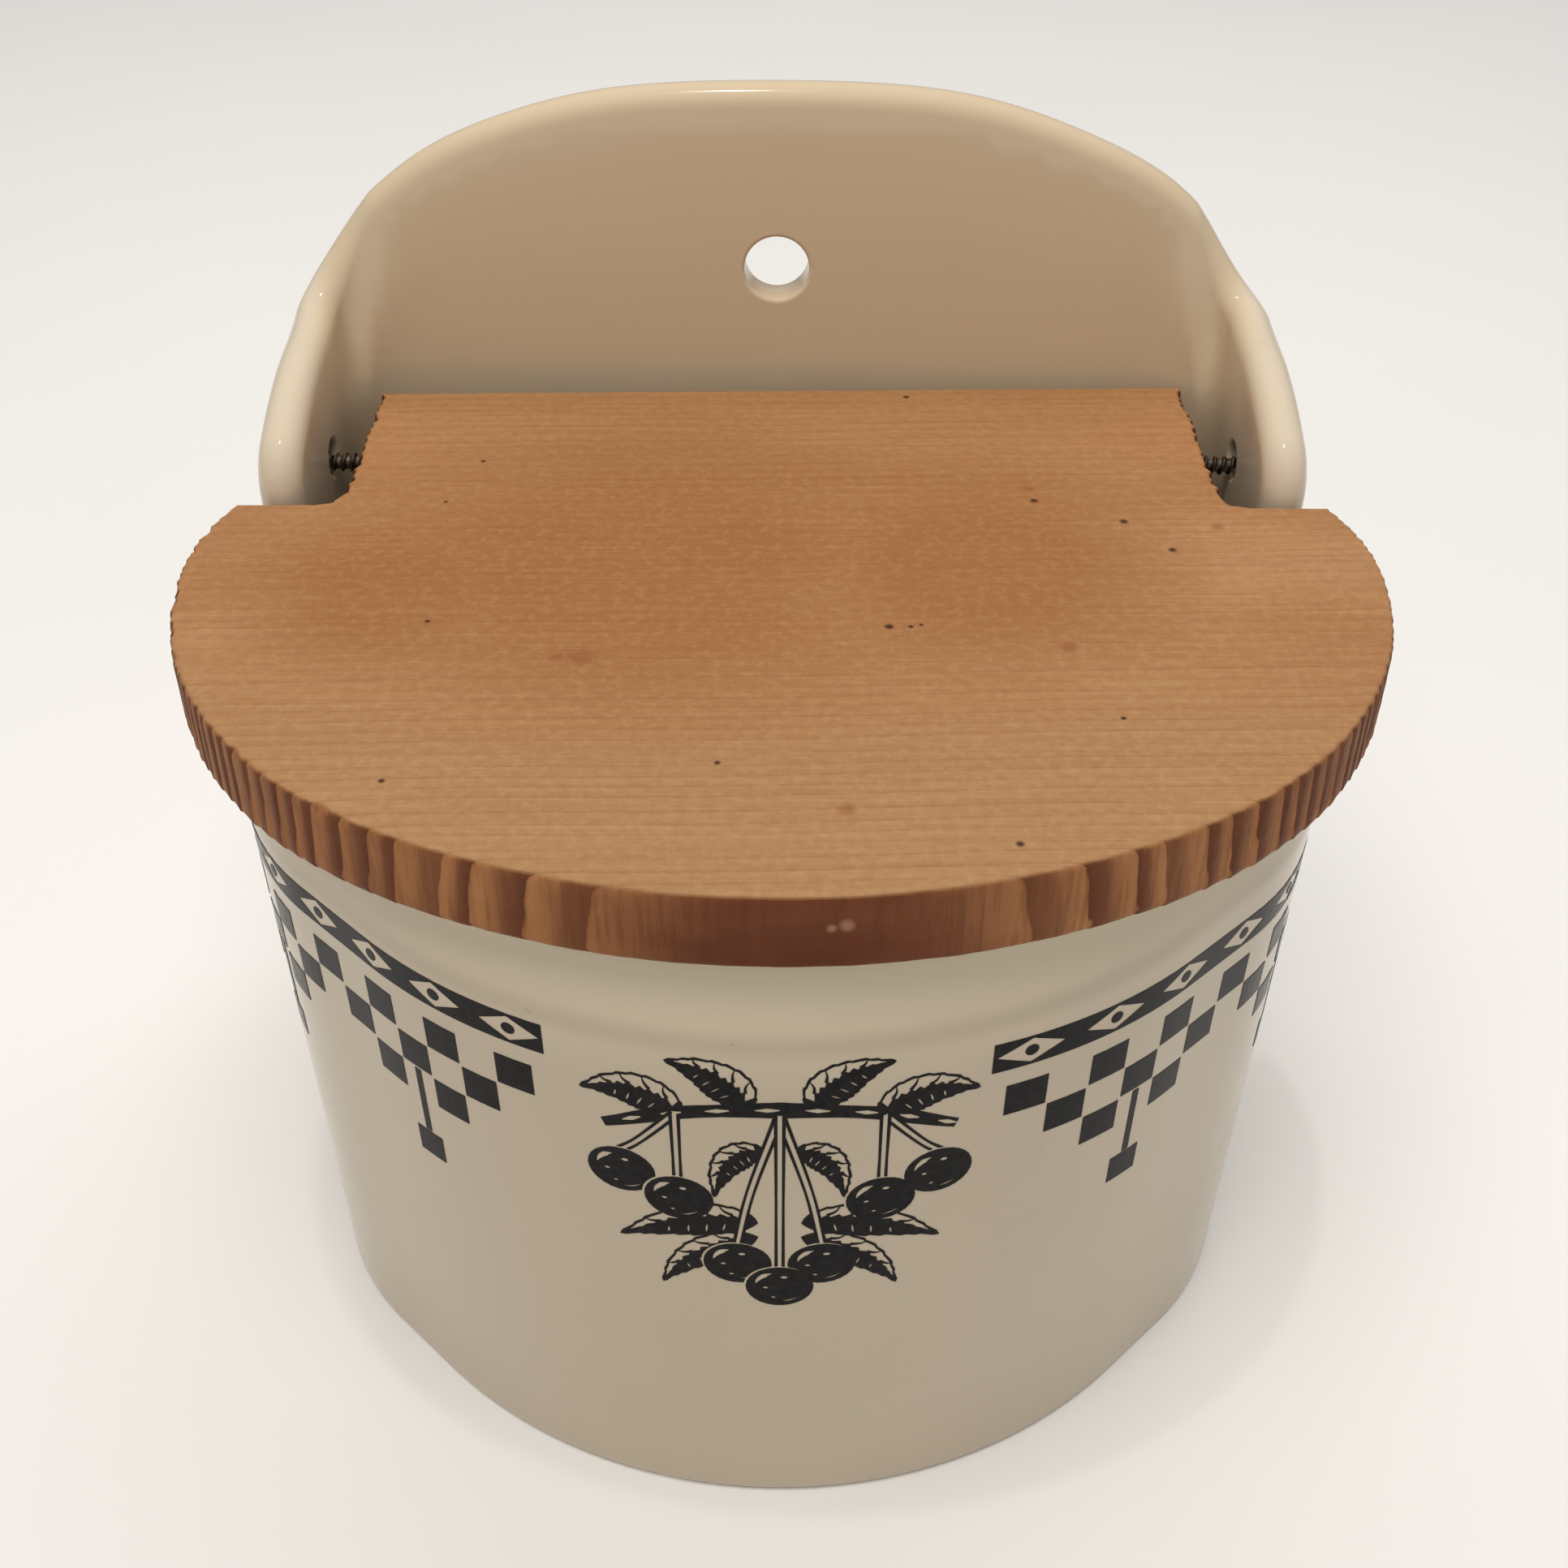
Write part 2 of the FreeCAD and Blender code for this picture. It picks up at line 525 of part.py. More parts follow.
def make_pivot_screw(name, side):
    """Pan-head wood screw along X, head outwards, that pins the tongue to one cheek."""
    body = doc.addObject("PartDesign::Body", name)
    head = size("head_radius")
    shank = size("screw_radius")
    length = size("screw_length")
    tip = size("screw_tip")
    height = size("head_height")
    dome = size("head_rounding")
    profile = new_sketch(body, f"{name}_profile", "XZ_Plane")
    profile.addGeometry([
        Part.LineSegment(vec(-length, 0), vec(tip - length, shank)),
        Part.LineSegment(vec(tip - length, shank), vec(0, shank)),
        Part.LineSegment(vec(0, shank), vec(0, head)),
        Part.LineSegment(vec(0, head), vec(height - dome, head)),
        arc(vec(height - dome, head - dome), dome, 0, 90),
        Part.LineSegment(vec(height, head - dome), vec(height, 0)),
        Part.LineSegment(vec(height, 0), vec(-length, 0)),
    ], False)
    for joint in [("Coincident", 0, 2, 1, 1), ("Coincident", 1, 2, 2, 1), ("Coincident", 2, 2, 3, 1),
                  ("Tangent", 3, 2, 4, 2), ("Tangent", 4, 1, 5, 1), ("Coincident", 5, 2, 6, 1),
                  ("Coincident", 6, 2, 0, 1), ("Horizontal", 1), ("Vertical", 2), ("Horizontal", 3),
                  ("Vertical", 5), ("PointOnObject", 6, 1, -1), ("PointOnObject", 6, 2, -1),
                  ("PointOnObject", 2, 1, -2)]:
        profile.addConstraint(Sketcher.Constraint(*joint))
    measure(profile, "DistanceX", (0, 1, -1, 1), "length", length, "<screw_length>")
    measure(profile, "DistanceX", (0, 1, 0, 2), "tip", tip, "<screw_tip>")
    measure(profile, "DistanceY", (-1, 1, 1, 1), "shank", shank, "<screw_radius>")
    measure(profile, "DistanceY", (-1, 1, 3, 1), "head", head, "<head_radius>")
    measure(profile, "DistanceX", (-1, 1, 5, 1), "height", height, "<head_height>")
    measure(profile, "Radius", (4,), "dome", dome, "<head_rounding>")
    turned = body.newObject("PartDesign::Revolution", f"{name}_turned")
    turned.Profile = profile
    turned.ReferenceAxis = (profile, ["H_Axis"])
    turned.Angle = 360
    doc.recompute()

    # cross recess: two slots at right angles in the head's outer face
    for slot, (across, up) in {"level": ("recess_length", "recess_width"),
                               "upright": ("recess_width", "recess_length")}.items():
        sketch = new_sketch(body, f"{name}_{slot}", "YZ_Plane")
        link(sketch, "AttachmentOffset.Base.z", "<head_height>")
        y, z = size(across) / 2, size(up) / 2
        corners = [vec(-y, -z), vec(y, -z), vec(y, z), vec(-y, z)]
        ends = corners[1:] + corners[:1]
        sketch.addGeometry([Part.LineSegment(a, b) for a, b in zip(corners, ends)], False)
        for joint in [("Coincident", 0, 2, 1, 1), ("Coincident", 1, 2, 2, 1),
                      ("Coincident", 2, 2, 3, 1), ("Coincident", 3, 2, 0, 1), ("Horizontal", 0),
                      ("Vertical", 1), ("Horizontal", 2), ("Vertical", 3),
                      ("Symmetric", 0, 1, 2, 1, -1, 1)]:
            sketch.addConstraint(Sketcher.Constraint(*joint))
        measure(sketch, "DistanceX", (0, 1, 0, 2), "across", 2 * y, f"<{across}>")
        measure(sketch, "DistanceY", (1, 1, 1, 2), "up", 2 * z, f"<{up}>")
        before = body.Shape.Volume
        pocket(body, f"{name}_{slot}_slot", sketch, "<recess_depth>", False)
        doc.recompute()
        if body.Shape.Volume > before - 0.5:
            raise ValueError(f"{name}: the {slot} slot cuts nothing")

    # the head's underside faces the outside of its cheek
    body.Placement = FreeCAD.Placement(FreeCAD.Vector(), FreeCAD.Rotation(UP, 90 - 90 * side))
    link(body, "Placement.Base.x", f"{side} * (<pot_half_width> + <head_gap>)")
    link(body, "Placement.Base.y", "<pivot_y>")
    link(body, "Placement.Base.z", "<pivot_height>")
    return body


def check_and_export(nodes):
    doc.recompute()
    for obj in doc.Objects:
        if "Invalid" in obj.State or "Error" in obj.State:
            raise ValueError(f"{obj.Label}: {obj.State}")
    for node in nodes:
        if node.Shape.isNull() or not node.Shape.isValid() or len(node.Shape.Solids) != 1:
            raise ValueError(f"{node.Label}: not one valid solid")
    os.makedirs("parts", exist_ok=True)
    for node in nodes:
        node.Shape.exportStep(os.path.join("parts", f"{node.Label}.step"))
        box = node.Shape.optimalBoundingBox(True, False)
        print(f"{node.Label}: x {box.XMin:.2f} to {box.XMax:.2f}, y {box.YMin:.2f} to {box.YMax:.2f},"
              f" z {box.ZMin:.2f} to {box.ZMax:.2f}, volume {node.Shape.Volume:.0f}")


check_and_export([
    make_ceramic_box(),
    make_lid_board(),
    make_pivot_screw("left_pivot_screw", -1),
    make_pivot_screw("right_pivot_screw", 1),
])
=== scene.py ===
import math
import random

import bmesh
import bpy
import numpy as np
from mathutils import Matrix, Vector
from mathutils.geometry import delaunay_2d_cdt


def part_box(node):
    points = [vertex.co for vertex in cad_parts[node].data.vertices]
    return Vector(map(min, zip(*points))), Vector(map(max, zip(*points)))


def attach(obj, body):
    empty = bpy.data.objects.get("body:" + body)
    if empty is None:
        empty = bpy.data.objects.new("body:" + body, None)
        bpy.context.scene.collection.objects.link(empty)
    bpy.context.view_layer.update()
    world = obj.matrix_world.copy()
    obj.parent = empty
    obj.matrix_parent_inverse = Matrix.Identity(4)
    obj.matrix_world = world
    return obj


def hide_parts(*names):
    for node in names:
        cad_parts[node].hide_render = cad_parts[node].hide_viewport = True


# Wall salt box: glazed D-plan pot with an arched back plate, a sawn wooden lid on two wood screws, and
# black printed bands and a cherry sprig on its glaze. Lengths are millimetres until a mesh is made.

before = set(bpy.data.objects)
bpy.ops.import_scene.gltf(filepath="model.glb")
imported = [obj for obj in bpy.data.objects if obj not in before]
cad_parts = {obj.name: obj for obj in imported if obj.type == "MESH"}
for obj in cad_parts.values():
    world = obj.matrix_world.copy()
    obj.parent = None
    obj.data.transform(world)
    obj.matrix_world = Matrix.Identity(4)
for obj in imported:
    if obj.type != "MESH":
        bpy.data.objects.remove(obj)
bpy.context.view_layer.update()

MM = 0.001


# ---------------------------------------------------------------- camera, lights and floor

# the photo's viewpoint, in metres and degrees
CAMERA_PLACE = (0.0004, -0.2342, 0.2697)
CAMERA_TILT, CAMERA_ROLL, CAMERA_LENS = 52.81, 0.19, 42.69


def add_camera():
    camera = bpy.data.objects.new("camera", bpy.data.cameras.new("camera"))
    bpy.context.collection.objects.link(camera)
    camera.data.lens = CAMERA_LENS
    camera.data.sensor_width = 36
    camera.data.clip_start = 0.01
    camera.matrix_world = (Matrix.Translation(CAMERA_PLACE)
                           @ Matrix.Rotation(math.radians(CAMERA_TILT), 4, "X")
                           @ Matrix.Rotation(math.radians(CAMERA_ROLL), 4, "Z"))
    bpy.context.scene.camera = camera


def add_area(name, place, target, size, power, colour, shines=False):
    """An area light at a place, turned to a target, both in metres."""
    light = bpy.data.lights.new(name, "AREA")
    light.shape = "RECTANGLE"
    light.size, light.size_y = size
    light.energy = power
    light.color = colour
    lamp = bpy.data.objects.new(name, light)
    bpy.context.collection.objects.link(lamp)
    lamp.location = place
    lamp.rotation_mode = "QUATERNION"
    lamp.rotation_quaternion = (Vector(target) - Vector(place)).to_track_quat("-Z", "Y")
    lamp.visible_glossy = shines


add_camera()
add_area("key_light", (-0.12, -0.5, 1.4), (0, 0, 0.1), (1.0, 0.8), 14.0, (1.0, 0.94, 0.86))
add_area("back_light", (0.1, 0.75, 1.3), (0, 0.35, 0), (1.6, 0.8), 7.5, (1.0, 0.965, 0.91))
add_area("spark_light", (-0.08, -0.1, 1.6), (0, 0, 0.15), (0.035, 0.035), 1.6, (1.0, 0.96, 0.9), shines=True)

world = bpy.data.worlds.new("studio")
bpy.context.scene.world = world
world.use_nodes = True
world.node_tree.nodes["Background"].inputs["Color"].default_value = (1.0, 0.975, 0.95, 1)
world.node_tree.nodes["Background"].inputs["Strength"].default_value = 0.28
bpy.context.scene.view_settings.view_transform = "Standard"


# ---------------------------------------------------------------- materials

class Shader:
    """One material with a Principled shader, and short ways to add and wire its nodes."""

    def __init__(self, name, **values):
        self.material = bpy.data.materials.new(name)
        self.material.use_nodes = True
        self.tree = self.material.node_tree
        self.surface = self.tree.nodes["Principled BSDF"]
        for key, value in values.items():
            self.surface.inputs[key.replace("_", " ")].default_value = value

    def node(self, kind, inputs=(), **settings):
        made = self.tree.nodes.new(kind)
        for key, value in settings.items():
            setattr(made, key, value)
        for key, value in dict(inputs).items():
            self.put(made.inputs[key], value)
        return made

    def put(self, socket, value):
        if isinstance(value, bpy.types.NodeSocket):
            self.tree.links.new(value, socket)
        else:
            socket.default_value = value

    def math(self, operation, first, second=0.0, clamp=False):
        return self.node("ShaderNodeMath", {0: first, 1: second}, operation=operation,
                         use_clamp=clamp).outputs[0]

    def place(self):
        return self.node("ShaderNodeTexCoord").outputs["Object"]

    def split(self, vector):
        return self.node("ShaderNodeSeparateXYZ", {0: vector}).outputs

    def stretch(self, vector, scale):
        return self.node("ShaderNodeMapping", {"Vector": vector, "Scale": scale}).outputs[0]

    def noise(self, vector, scale, detail=2.0, roughness=0.5):
        return self.node("ShaderNodeTexNoise", {"Vector": vector, "Scale": scale, "Detail": detail,
                                                "Roughness": roughness}).outputs["Fac"]

    def steps(self, fac, stops, smooth="LINEAR"):
        ramp = self.node("ShaderNodeValToRGB", {"Fac": fac})
        ramp.color_ramp.interpolation = smooth
        marks = ramp.color_ramp.elements
        while len(marks) < len(stops):
            marks.new(0.5)
        for mark, (position, colour) in zip(marks, stops):
            mark.position = position
            mark.color = (*colour, 1) if isinstance(colour, tuple) else (colour, colour, colour, 1)
        return ramp.outputs["Color"]

    def mix(self, fac, first, second):
        made = self.node("ShaderNodeMix", data_type="RGBA")
        self.put(made.inputs[0], fac)
        for socket, value in ((made.inputs[6], first), (made.inputs[7], second)):
            self.put(socket, (*value, 1) if isinstance(value, tuple) else value)
        return made.outputs[2]

    def spots(self, vector, marks):
        """1 within each mark (place in metres, radius in millimetres), fading to 0 at its edge."""
        total = 0.0
        for place, radius in marks:
            away = self.node("ShaderNodeVectorMath", {0: vector, 1: place}, operation="DISTANCE")
            near = self.math("DIVIDE", away.outputs["Value"], radius * MM)
            spot = self.math("SUBTRACT", 1.6, self.math("MULTIPLY", near, 1.6), clamp=True)
            total = self.math("MAXIMUM", total, spot)
        return total

    def bump(self, height, strength, distance):
        made = self.node("ShaderNodeBump", {"Height": height, "Strength": strength,
                                            "Distance": distance})
        self.put(self.surface.inputs["Normal"], made.outputs[0])

    def set(self, key, value):
        self.put(self.surface.inputs[key], value)


def glaze_material():
    glaze = Shader("cream_glaze", IOR=1.5)
    place = glaze.place()
    cloud = glaze.noise(place, 14, 3)
    cream = glaze.steps(cloud, [(0.3, (0.610, 0.512, 0.372)), (0.7, (0.650, 0.552, 0.412))])
    fine = glaze.noise(place, 420, 2)
    specks = glaze.steps(fine, [(0.76, 0.0), (0.80, 1.0)])
    cream = glaze.mix(glaze.math("MULTIPLY", specks, 0.35), cream, (0.30, 0.22, 0.13))
    # on the front, painted shade makes the wall darker and greyer below, a band of painted light makes it
    # paler under the lid, with a painted shade line at the band's foot and the lid's painted shadow just
    # under the lid; higher up the glaze is paler; the plate is warmer with painted light reflected from the
    # lid
    side, rear, level = list(glaze.split(place))[:3]
    side = glaze.math("ABSOLUTE", side)

    def mask(way, reach, marks, smooth="LINEAR"):
        """Strength along one axis, from marks of (millimetres, strength) between 0 and reach."""
        share = glaze.math("DIVIDE", way, reach * MM)
        return glaze.steps(share, [(at / reach, strength) for at, strength in marks], smooth)

    def tint_and_painted_light(colour, strength, *masks):
        amount = strength
        for part in masks:
            amount = glaze.math("MULTIPLY", part, amount)
        return glaze.mix(amount, cream, colour)

    front = mask(rear, 100, [(0, 1.0), (42, 0.0)], "EASE")
    # painted shade: the lower front wall is darker and greyer
    below = mask(level, 200, [(92, 1.0), (104, 0.0)])
    cream = tint_and_painted_light((0.36, 0.30, 0.225), 0.37, front, below)
    # painted light: a paler band on the front wall under the lid
    painted_light_band = mask(level, 200, [(101, 0.0), (108, 1.0), (118, 1.0), (120.4, 0.0)])
    cream = tint_and_painted_light((0.72, 0.63, 0.46), 0.75, front, painted_light_band)
    # painted shade: a darker line at the foot of the paler band
    line = mask(level, 200, [(98.4, 0.0), (101.6, 1.0), (104.8, 0.0)], "EASE")
    cream = tint_and_painted_light((0.25, 0.20, 0.12), 0.25, front, line)
    # painted shadow of the lid on the front wall just under it
    painted_lid_shadow = mask(level, 200, [(110.4, 0.0), (117, 1.0), (118.4, 1.0), (120.4, 0.0)], "EASE")
    cream = tint_and_painted_light((0.26, 0.21, 0.13), 0.4, front, painted_lid_shadow)
    high = mask(level, 200, [(110, 0.0), (150, 1.0)], "EASE")
    cream = tint_and_painted_light((0.73, 0.67, 0.57), 0.35, high, mask(rear, 100, [(69.5, 1.0), (72.2, 0.0)]))
    # painted light: the plate above the lid is warmer, with painted warm light reflected from the wooden lid
    above_lid = mask(level, 200, [(119, 0.0), (122, 1.0)])
    plate = mask(rear, 100, [(42, 0.0), (58, 1.0), (68.5, 1.0), (70.5, 0.0)])
    cream = tint_and_painted_light((0.645, 0.515, 0.345), 0.75, above_lid, plate, mask(side, 100, [(75.5, 1.0), (78.5, 0.0)]))
    glaze.set("Base Color", cream)
    glaze.set("Roughness", glaze.steps(cloud, [(0.3, 0.11), (0.7, 0.17)]))
    ripple = glaze.noise(place, 55, 2)
    glaze.bump(ripple, 0.10, 0.001)
    return glaze


def ink_material():
    ink = Shader("printed_ink", IOR=1.5, Specular_IOR_Level=0.08)
    place = ink.place()
    grain = ink.noise(place, 900, 2)
    ink.set("Base Color", ink.steps(grain, [(0.3, (0.006, 0.006, 0.007)), (0.75, (0.016, 0.015, 0.015))]))
    ink.set("Roughness", ink.steps(grain, [(0.3, 0.20), (0.7, 0.27)]))
    ink.bump(ink.noise(place, 55, 2), 0.10, 0.001)
    return ink


def bisque_material():
    clay = Shader("unglazed_foot")
    grain = clay.noise(clay.place(), 700, 4, 0.7)
    clay.set("Base Color", clay.steps(grain, [(0.3, (0.52, 0.42, 0.30)), (0.7, (0.68, 0.58, 0.44))]))
    clay.set("Roughness", clay.steps(grain, [(0.3, 0.75), (0.7, 0.9)]))
    clay.bump(grain, 0.3, 0.0004)
    return clay


# ---------------------------------------------------------------- meshes

def make_object(name, points, faces, material, body, smooth=True):
    """A piece from points in millimetres; each face is a list of point numbers."""
    mesh = bpy.data.meshes.new(name)
    mesh.from_pydata([tuple(p) for p in np.asarray(points, float) * MM], [], faces)
    mesh.materials.append(material)
    build = bmesh.new()
    build.from_mesh(mesh)
    bmesh.ops.remove_doubles(build, verts=build.verts, dist=2e-6)
    bmesh.ops.recalc_face_normals(build, faces=build.faces)
    build.to_mesh(mesh)
    build.free()
    mesh.polygons.foreach_set("use_smooth", [smooth] * len(mesh.polygons))
    piece = bpy.data.objects.new(name, mesh)
    bpy.context.collection.objects.link(piece)
    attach(piece, body)
    return piece


def cut(piece, cutters):
    """Subtract closed cutter meshes from a piece for good, and remove the cutters."""
    for cutter in cutters:
        modifier = piece.modifiers.new("cut", "BOOLEAN")
        modifier.operation = "DIFFERENCE"
        modifier.solver = "EXACT"
        modifier.object = cutter
    graph = bpy.context.evaluated_depsgraph_get()
    graph.update()
    result = bpy.data.meshes.new_from_object(piece.evaluated_get(graph))
    piece.modifiers.clear()
    piece.data = result
    for cutter in cutters:
        bpy.data.objects.remove(cutter)


def turned(centre, axis, profile, count):
    """Points and faces of a closed lathed form: profile is (way along the axis, radius)."""
    axis = Vector(axis).normalized()
    side = axis.orthogonal().normalized()
    up = axis.cross(side)
    points = []
    for along, radius in profile:
        for i in range(count):
            turn = 2 * math.pi * i / count
            spot = Vector(centre) + axis * along
            points.append(spot + (side * math.cos(turn) + up * math.sin(turn)) * radius)
    faces = lattice(len(profile), count)
    faces.append(list(range(count - 1, -1, -1)))
    faces.append([(len(profile) - 1) * count + i for i in range(count)])
    return points, faces


def lattice(rows, count, first=0):
    """Quads between rows of points that each go once round."""
    faces = []
    for row in range(rows - 1):
        for i in range(count):
            j = (i + 1) % count
            a, b = first + row * count, first + (row + 1) * count
            faces.append([a + i, a + j, b + j, b + i])
    return faces


def plain_cutter(name, points, faces):
    mesh = bpy.data.meshes.new(name)
    mesh.from_pydata([tuple(Vector(p) * MM) for p in points], [], faces)
    piece = bpy.data.objects.new(name, mesh)
    bpy.context.collection.objects.link(piece)
    build = bmesh.new()
    build.from_mesh(mesh)
    bmesh.ops.recalc_face_normals(build, faces=build.faces)
    build.to_mesh(mesh)
    build.free()
    return piece


def dense(line, step, closed=True):
    """The line's points with more between them, so that no gap is longer than step."""
    line = [np.asarray(p, float) for p in line]
    out = []
    for a, b in zip(line, line[1:] + line[:1] if closed else line[1:]):
        parts = max(1, math.ceil(np.linalg.norm(b - a) / step))
        out.extend(a + (b - a) * k / parts for k in range(parts))
    if not closed:
        out.append(line[-1])
    return out


def curve(points, count):
    """Points of a smooth curve through the given ones."""
    ends = [2 * np.array(points[0]) - points[1], *map(np.array, points),
            2 * np.array(points[-1]) - points[-2]]
    out = []
    for k in range(len(points) - 1):
        a, b, c, d = ends[k:k + 4]
        for step in range(count):
            t = step / count
            out.append(0.5 * (2 * b + (c - a) * t + (2 * a - 5 * b + 4 * c - d) * t * t
                              + (3 * b - a - 3 * c + d) * t ** 3))
    out.append(np.array(points[-1], float))
    return out


def inside(outline, spots):
    """Whether each spot lies inside the outline."""
    a, b = np.asarray(outline), np.roll(outline, -1, 0)
    crossings = np.zeros(len(spots), int)
    for (ax, ay), (bx, by) in zip(a, b):
        if ay != by:
            straddles = (spots[:, 1] < ay) != (spots[:, 1] < by)
            crossings += straddles & (spots[:, 0] < ax + (bx - ax) * (spots[:, 1] - ay) / (by - ay))
    return crossings % 2 == 1


def triangulate(outlines, grid):
    """Triangles of overlapping outlines in 2-D, with a grid of points inside.

    Returns the points, the triangles that any outline covers and the number of the last one to do so."""
    points, edges = [], []
    for outline in outlines:
        first, count = len(points), len(outline)
        edges.extend((first + i, first + (i + 1) % count) for i in range(count))
        points.extend(outline)
    flat = np.array(points)
    low, high = flat.min(0), flat.max(0)
    columns = np.arange(low[0] + grid / 2, high[0], grid)
    rows = np.arange(low[1] + grid / 2, high[1], grid)
    inner = np.array([(x, y) for x in columns for y in rows]).reshape(-1, 2)
    near = np.ones(len(inner), bool)
    for start in range(0, len(flat), 400):
        gap = np.linalg.norm(inner[:, None] - flat[None, start:start + 400], axis=2).min(1)
        near &= gap > grid * 0.35
    points = [Vector(p) for p in points] + [Vector(p) for p in inner[near]]
    found = delaunay_2d_cdt(points, edges, [], 0, 1e-5, False)
    out = np.array([tuple(p) for p in found[0]])
    triangles = np.array(found[2])
    middle = out[triangles].mean(1)
    cover = np.full(len(triangles), -1)
    for number, outline in enumerate(outlines):
        outline = np.asarray(outline)
        (x0, y0), (x1, y1) = outline.min(0), outline.max(0)
        close = np.flatnonzero((middle[:, 0] > x0) & (middle[:, 0] < x1)
                               & (middle[:, 1] > y0) & (middle[:, 1] < y1))
        cover[close[inside(outline, middle[close])]] = number
    return out, triangles[cover >= 0].tolist(), cover[cover >= 0]


# ---------------------------------------------------------------- the pot's shape

pot_low, pot_high = (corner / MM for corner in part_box("ceramic_box"))
POT_X, POT_BACK, POT_NOSE = pot_high.x, pot_high.y, pot_low.y
WALL, LIP, FILLET = 7.0, 3.5, 13.0
RIM, CHEEK_FRONT, FOOT = 119.1, 21.6, 0.8
FLANK_Y, NOSE_R, FLANK_R, CORNER_R = -1.7, 82.0, 45.0, 13.0

flank_centre = np.array([POT_X - FLANK_R, FLANK_Y])
nose_centre = np.array([0.0, POT_NOSE + NOSE_R])
between = flank_centre - nose_centre
OPEN = math.atan2(-between[1], between[0]) + math.acos((NOSE_R - FLANK_R) / math.hypot(*between))
open_way = np.array([math.cos(OPEN), -math.sin(OPEN)])
tangent_start = flank_centre + open_way * FLANK_R
tangent_end = nose_centre + open_way * NOSE_R
RUNS = np.cumsum([0, POT_X - CORNER_R, CORNER_R * math.pi / 2, POT_BACK - CORNER_R - FLANK_Y,
                  FLANK_R * OPEN, np.linalg.norm(tangent_end - tangent_start),
                  NOSE_R * (math.pi / 2 - OPEN)])
HALF = RUNS[-1]
STRAIGHT = RUNS[2] + POT_BACK - CORNER_R    # on the pot's straight side, way + y is always this
CHEEK_Y, CHEEK_Z, CHEEK_R = 55.1, 80.5, 64.6


def plan(way):
    """Points and outward normals of the pot's plan, at the way round from the middle of its back."""
    way = np.mod(np.asarray(way, float), 2 * HALF)
    side = np.where(way > HALF, -1.0, 1.0)
    way = np.where(way > HALF, 2 * HALF - way, way)
    turn = np.interp(way, RUNS, [0, 0, math.pi / 2, math.pi / 2, math.pi / 2 + OPEN,
                                 math.pi / 2 + OPEN, math.pi])
    normal = np.stack([np.sin(turn), np.cos(turn)], -1)
    corner = np.array([POT_X - CORNER_R, POT_BACK - CORNER_R])
    back = np.stack([way, np.full_like(way, POT_BACK)], -1)
    straight = np.stack([np.full_like(way, POT_X), POT_BACK - CORNER_R - (way - RUNS[2])], -1)
    along = ((way - RUNS[4]) / (RUNS[5] - RUNS[4]))[..., None]
    point = np.select([(way < RUNS[k + 1])[..., None] for k in range(5)],
                      [back, corner + CORNER_R * normal, straight, flank_centre + FLANK_R * normal,
                       tangent_start + (tangent_end - tangent_start) * along],
                      nose_centre + NOSE_R * normal)
    flip = np.stack([side, np.ones_like(side)], -1)
    return point * flip, normal * flip


def smooth_step(value):
    value = np.clip(value, 0, 1)
    return value * value * (3 - 2 * value)


def wall_points(way, height, depth):
    """Points of the pot's wall at a depth in from its outer face."""
    way, height, depth = (np.asarray(v, float) for v in np.broadcast_arrays(way, height, depth))
    point, normal = plan(way)
    lean = np.minimum(0.97 + 0.03 * height / 100, 1.0)
    x = point[..., 0] * lean
    front = point[..., 1] < FLANK_Y
    y = np.where(front, FLANK_Y + (point[..., 1] - FLANK_Y) * lean, point[..., 1])
    # under the lid the front of the wall draws in a little
    tuck = 1.7 * smooth_step((height - 101) / 12) * smooth_step((14 - point[..., 1]) / 14)
    inner = np.clip(depth, 0, WALL) / WALL
    # inside, the plate runs into the cheeks with a wide fillet
    hollow = FILLET + WALL
    from_hollow = np.abs(point) - [POT_X - hollow, POT_BACK - hollow]
    along = from_hollow[..., 0] * np.abs(normal[..., 0]) + from_hollow[..., 1] * normal[..., 1]
    aside = (from_hollow ** 2).sum(-1) - along ** 2
    in_corner = (from_hollow.min(-1) > 0) & (point[..., 1] > 0)
    deep = np.where(in_corner, along - np.sqrt(np.maximum(FILLET ** 2 - aside, 0)), WALL)
    below = smooth_step((np.interp(np.mod(way, 2 * HALF), RIM_WAYS, RIM_HEIGHTS) - height - 4) / 16)
    inward = depth + tuck * (1 - inner) + (np.maximum(deep, WALL) - WALL) * inner ** 1.5 * below
    return np.stack([x - normal[..., 0] * inward, y - normal[..., 1] * inward, height], -1)


def cheek_line(y):
    """Height of the cheek's arched edge, which is level behind the arc's middle."""
    return CHEEK_Z + np.sqrt(CHEEK_R ** 2 - (np.minimum(y, CHEEK_Y) - CHEEK_Y) ** 2)


# the rim over the arch and round its two corners, as way from the middle of the back and height:
# crown, shoulder, slope, foot of the slope, dip. The real one sags a little more on the right.
ARCH_RIGHT = [(0, 180), (30, 178), (54, 170), (68, 161.5), (79, 149), (88, 146)]
ARCH_LEFT = [(0, 180), (30, 178.5), (54, 171.5), (68, 162.5), (79, 152), (88, 146.5)]


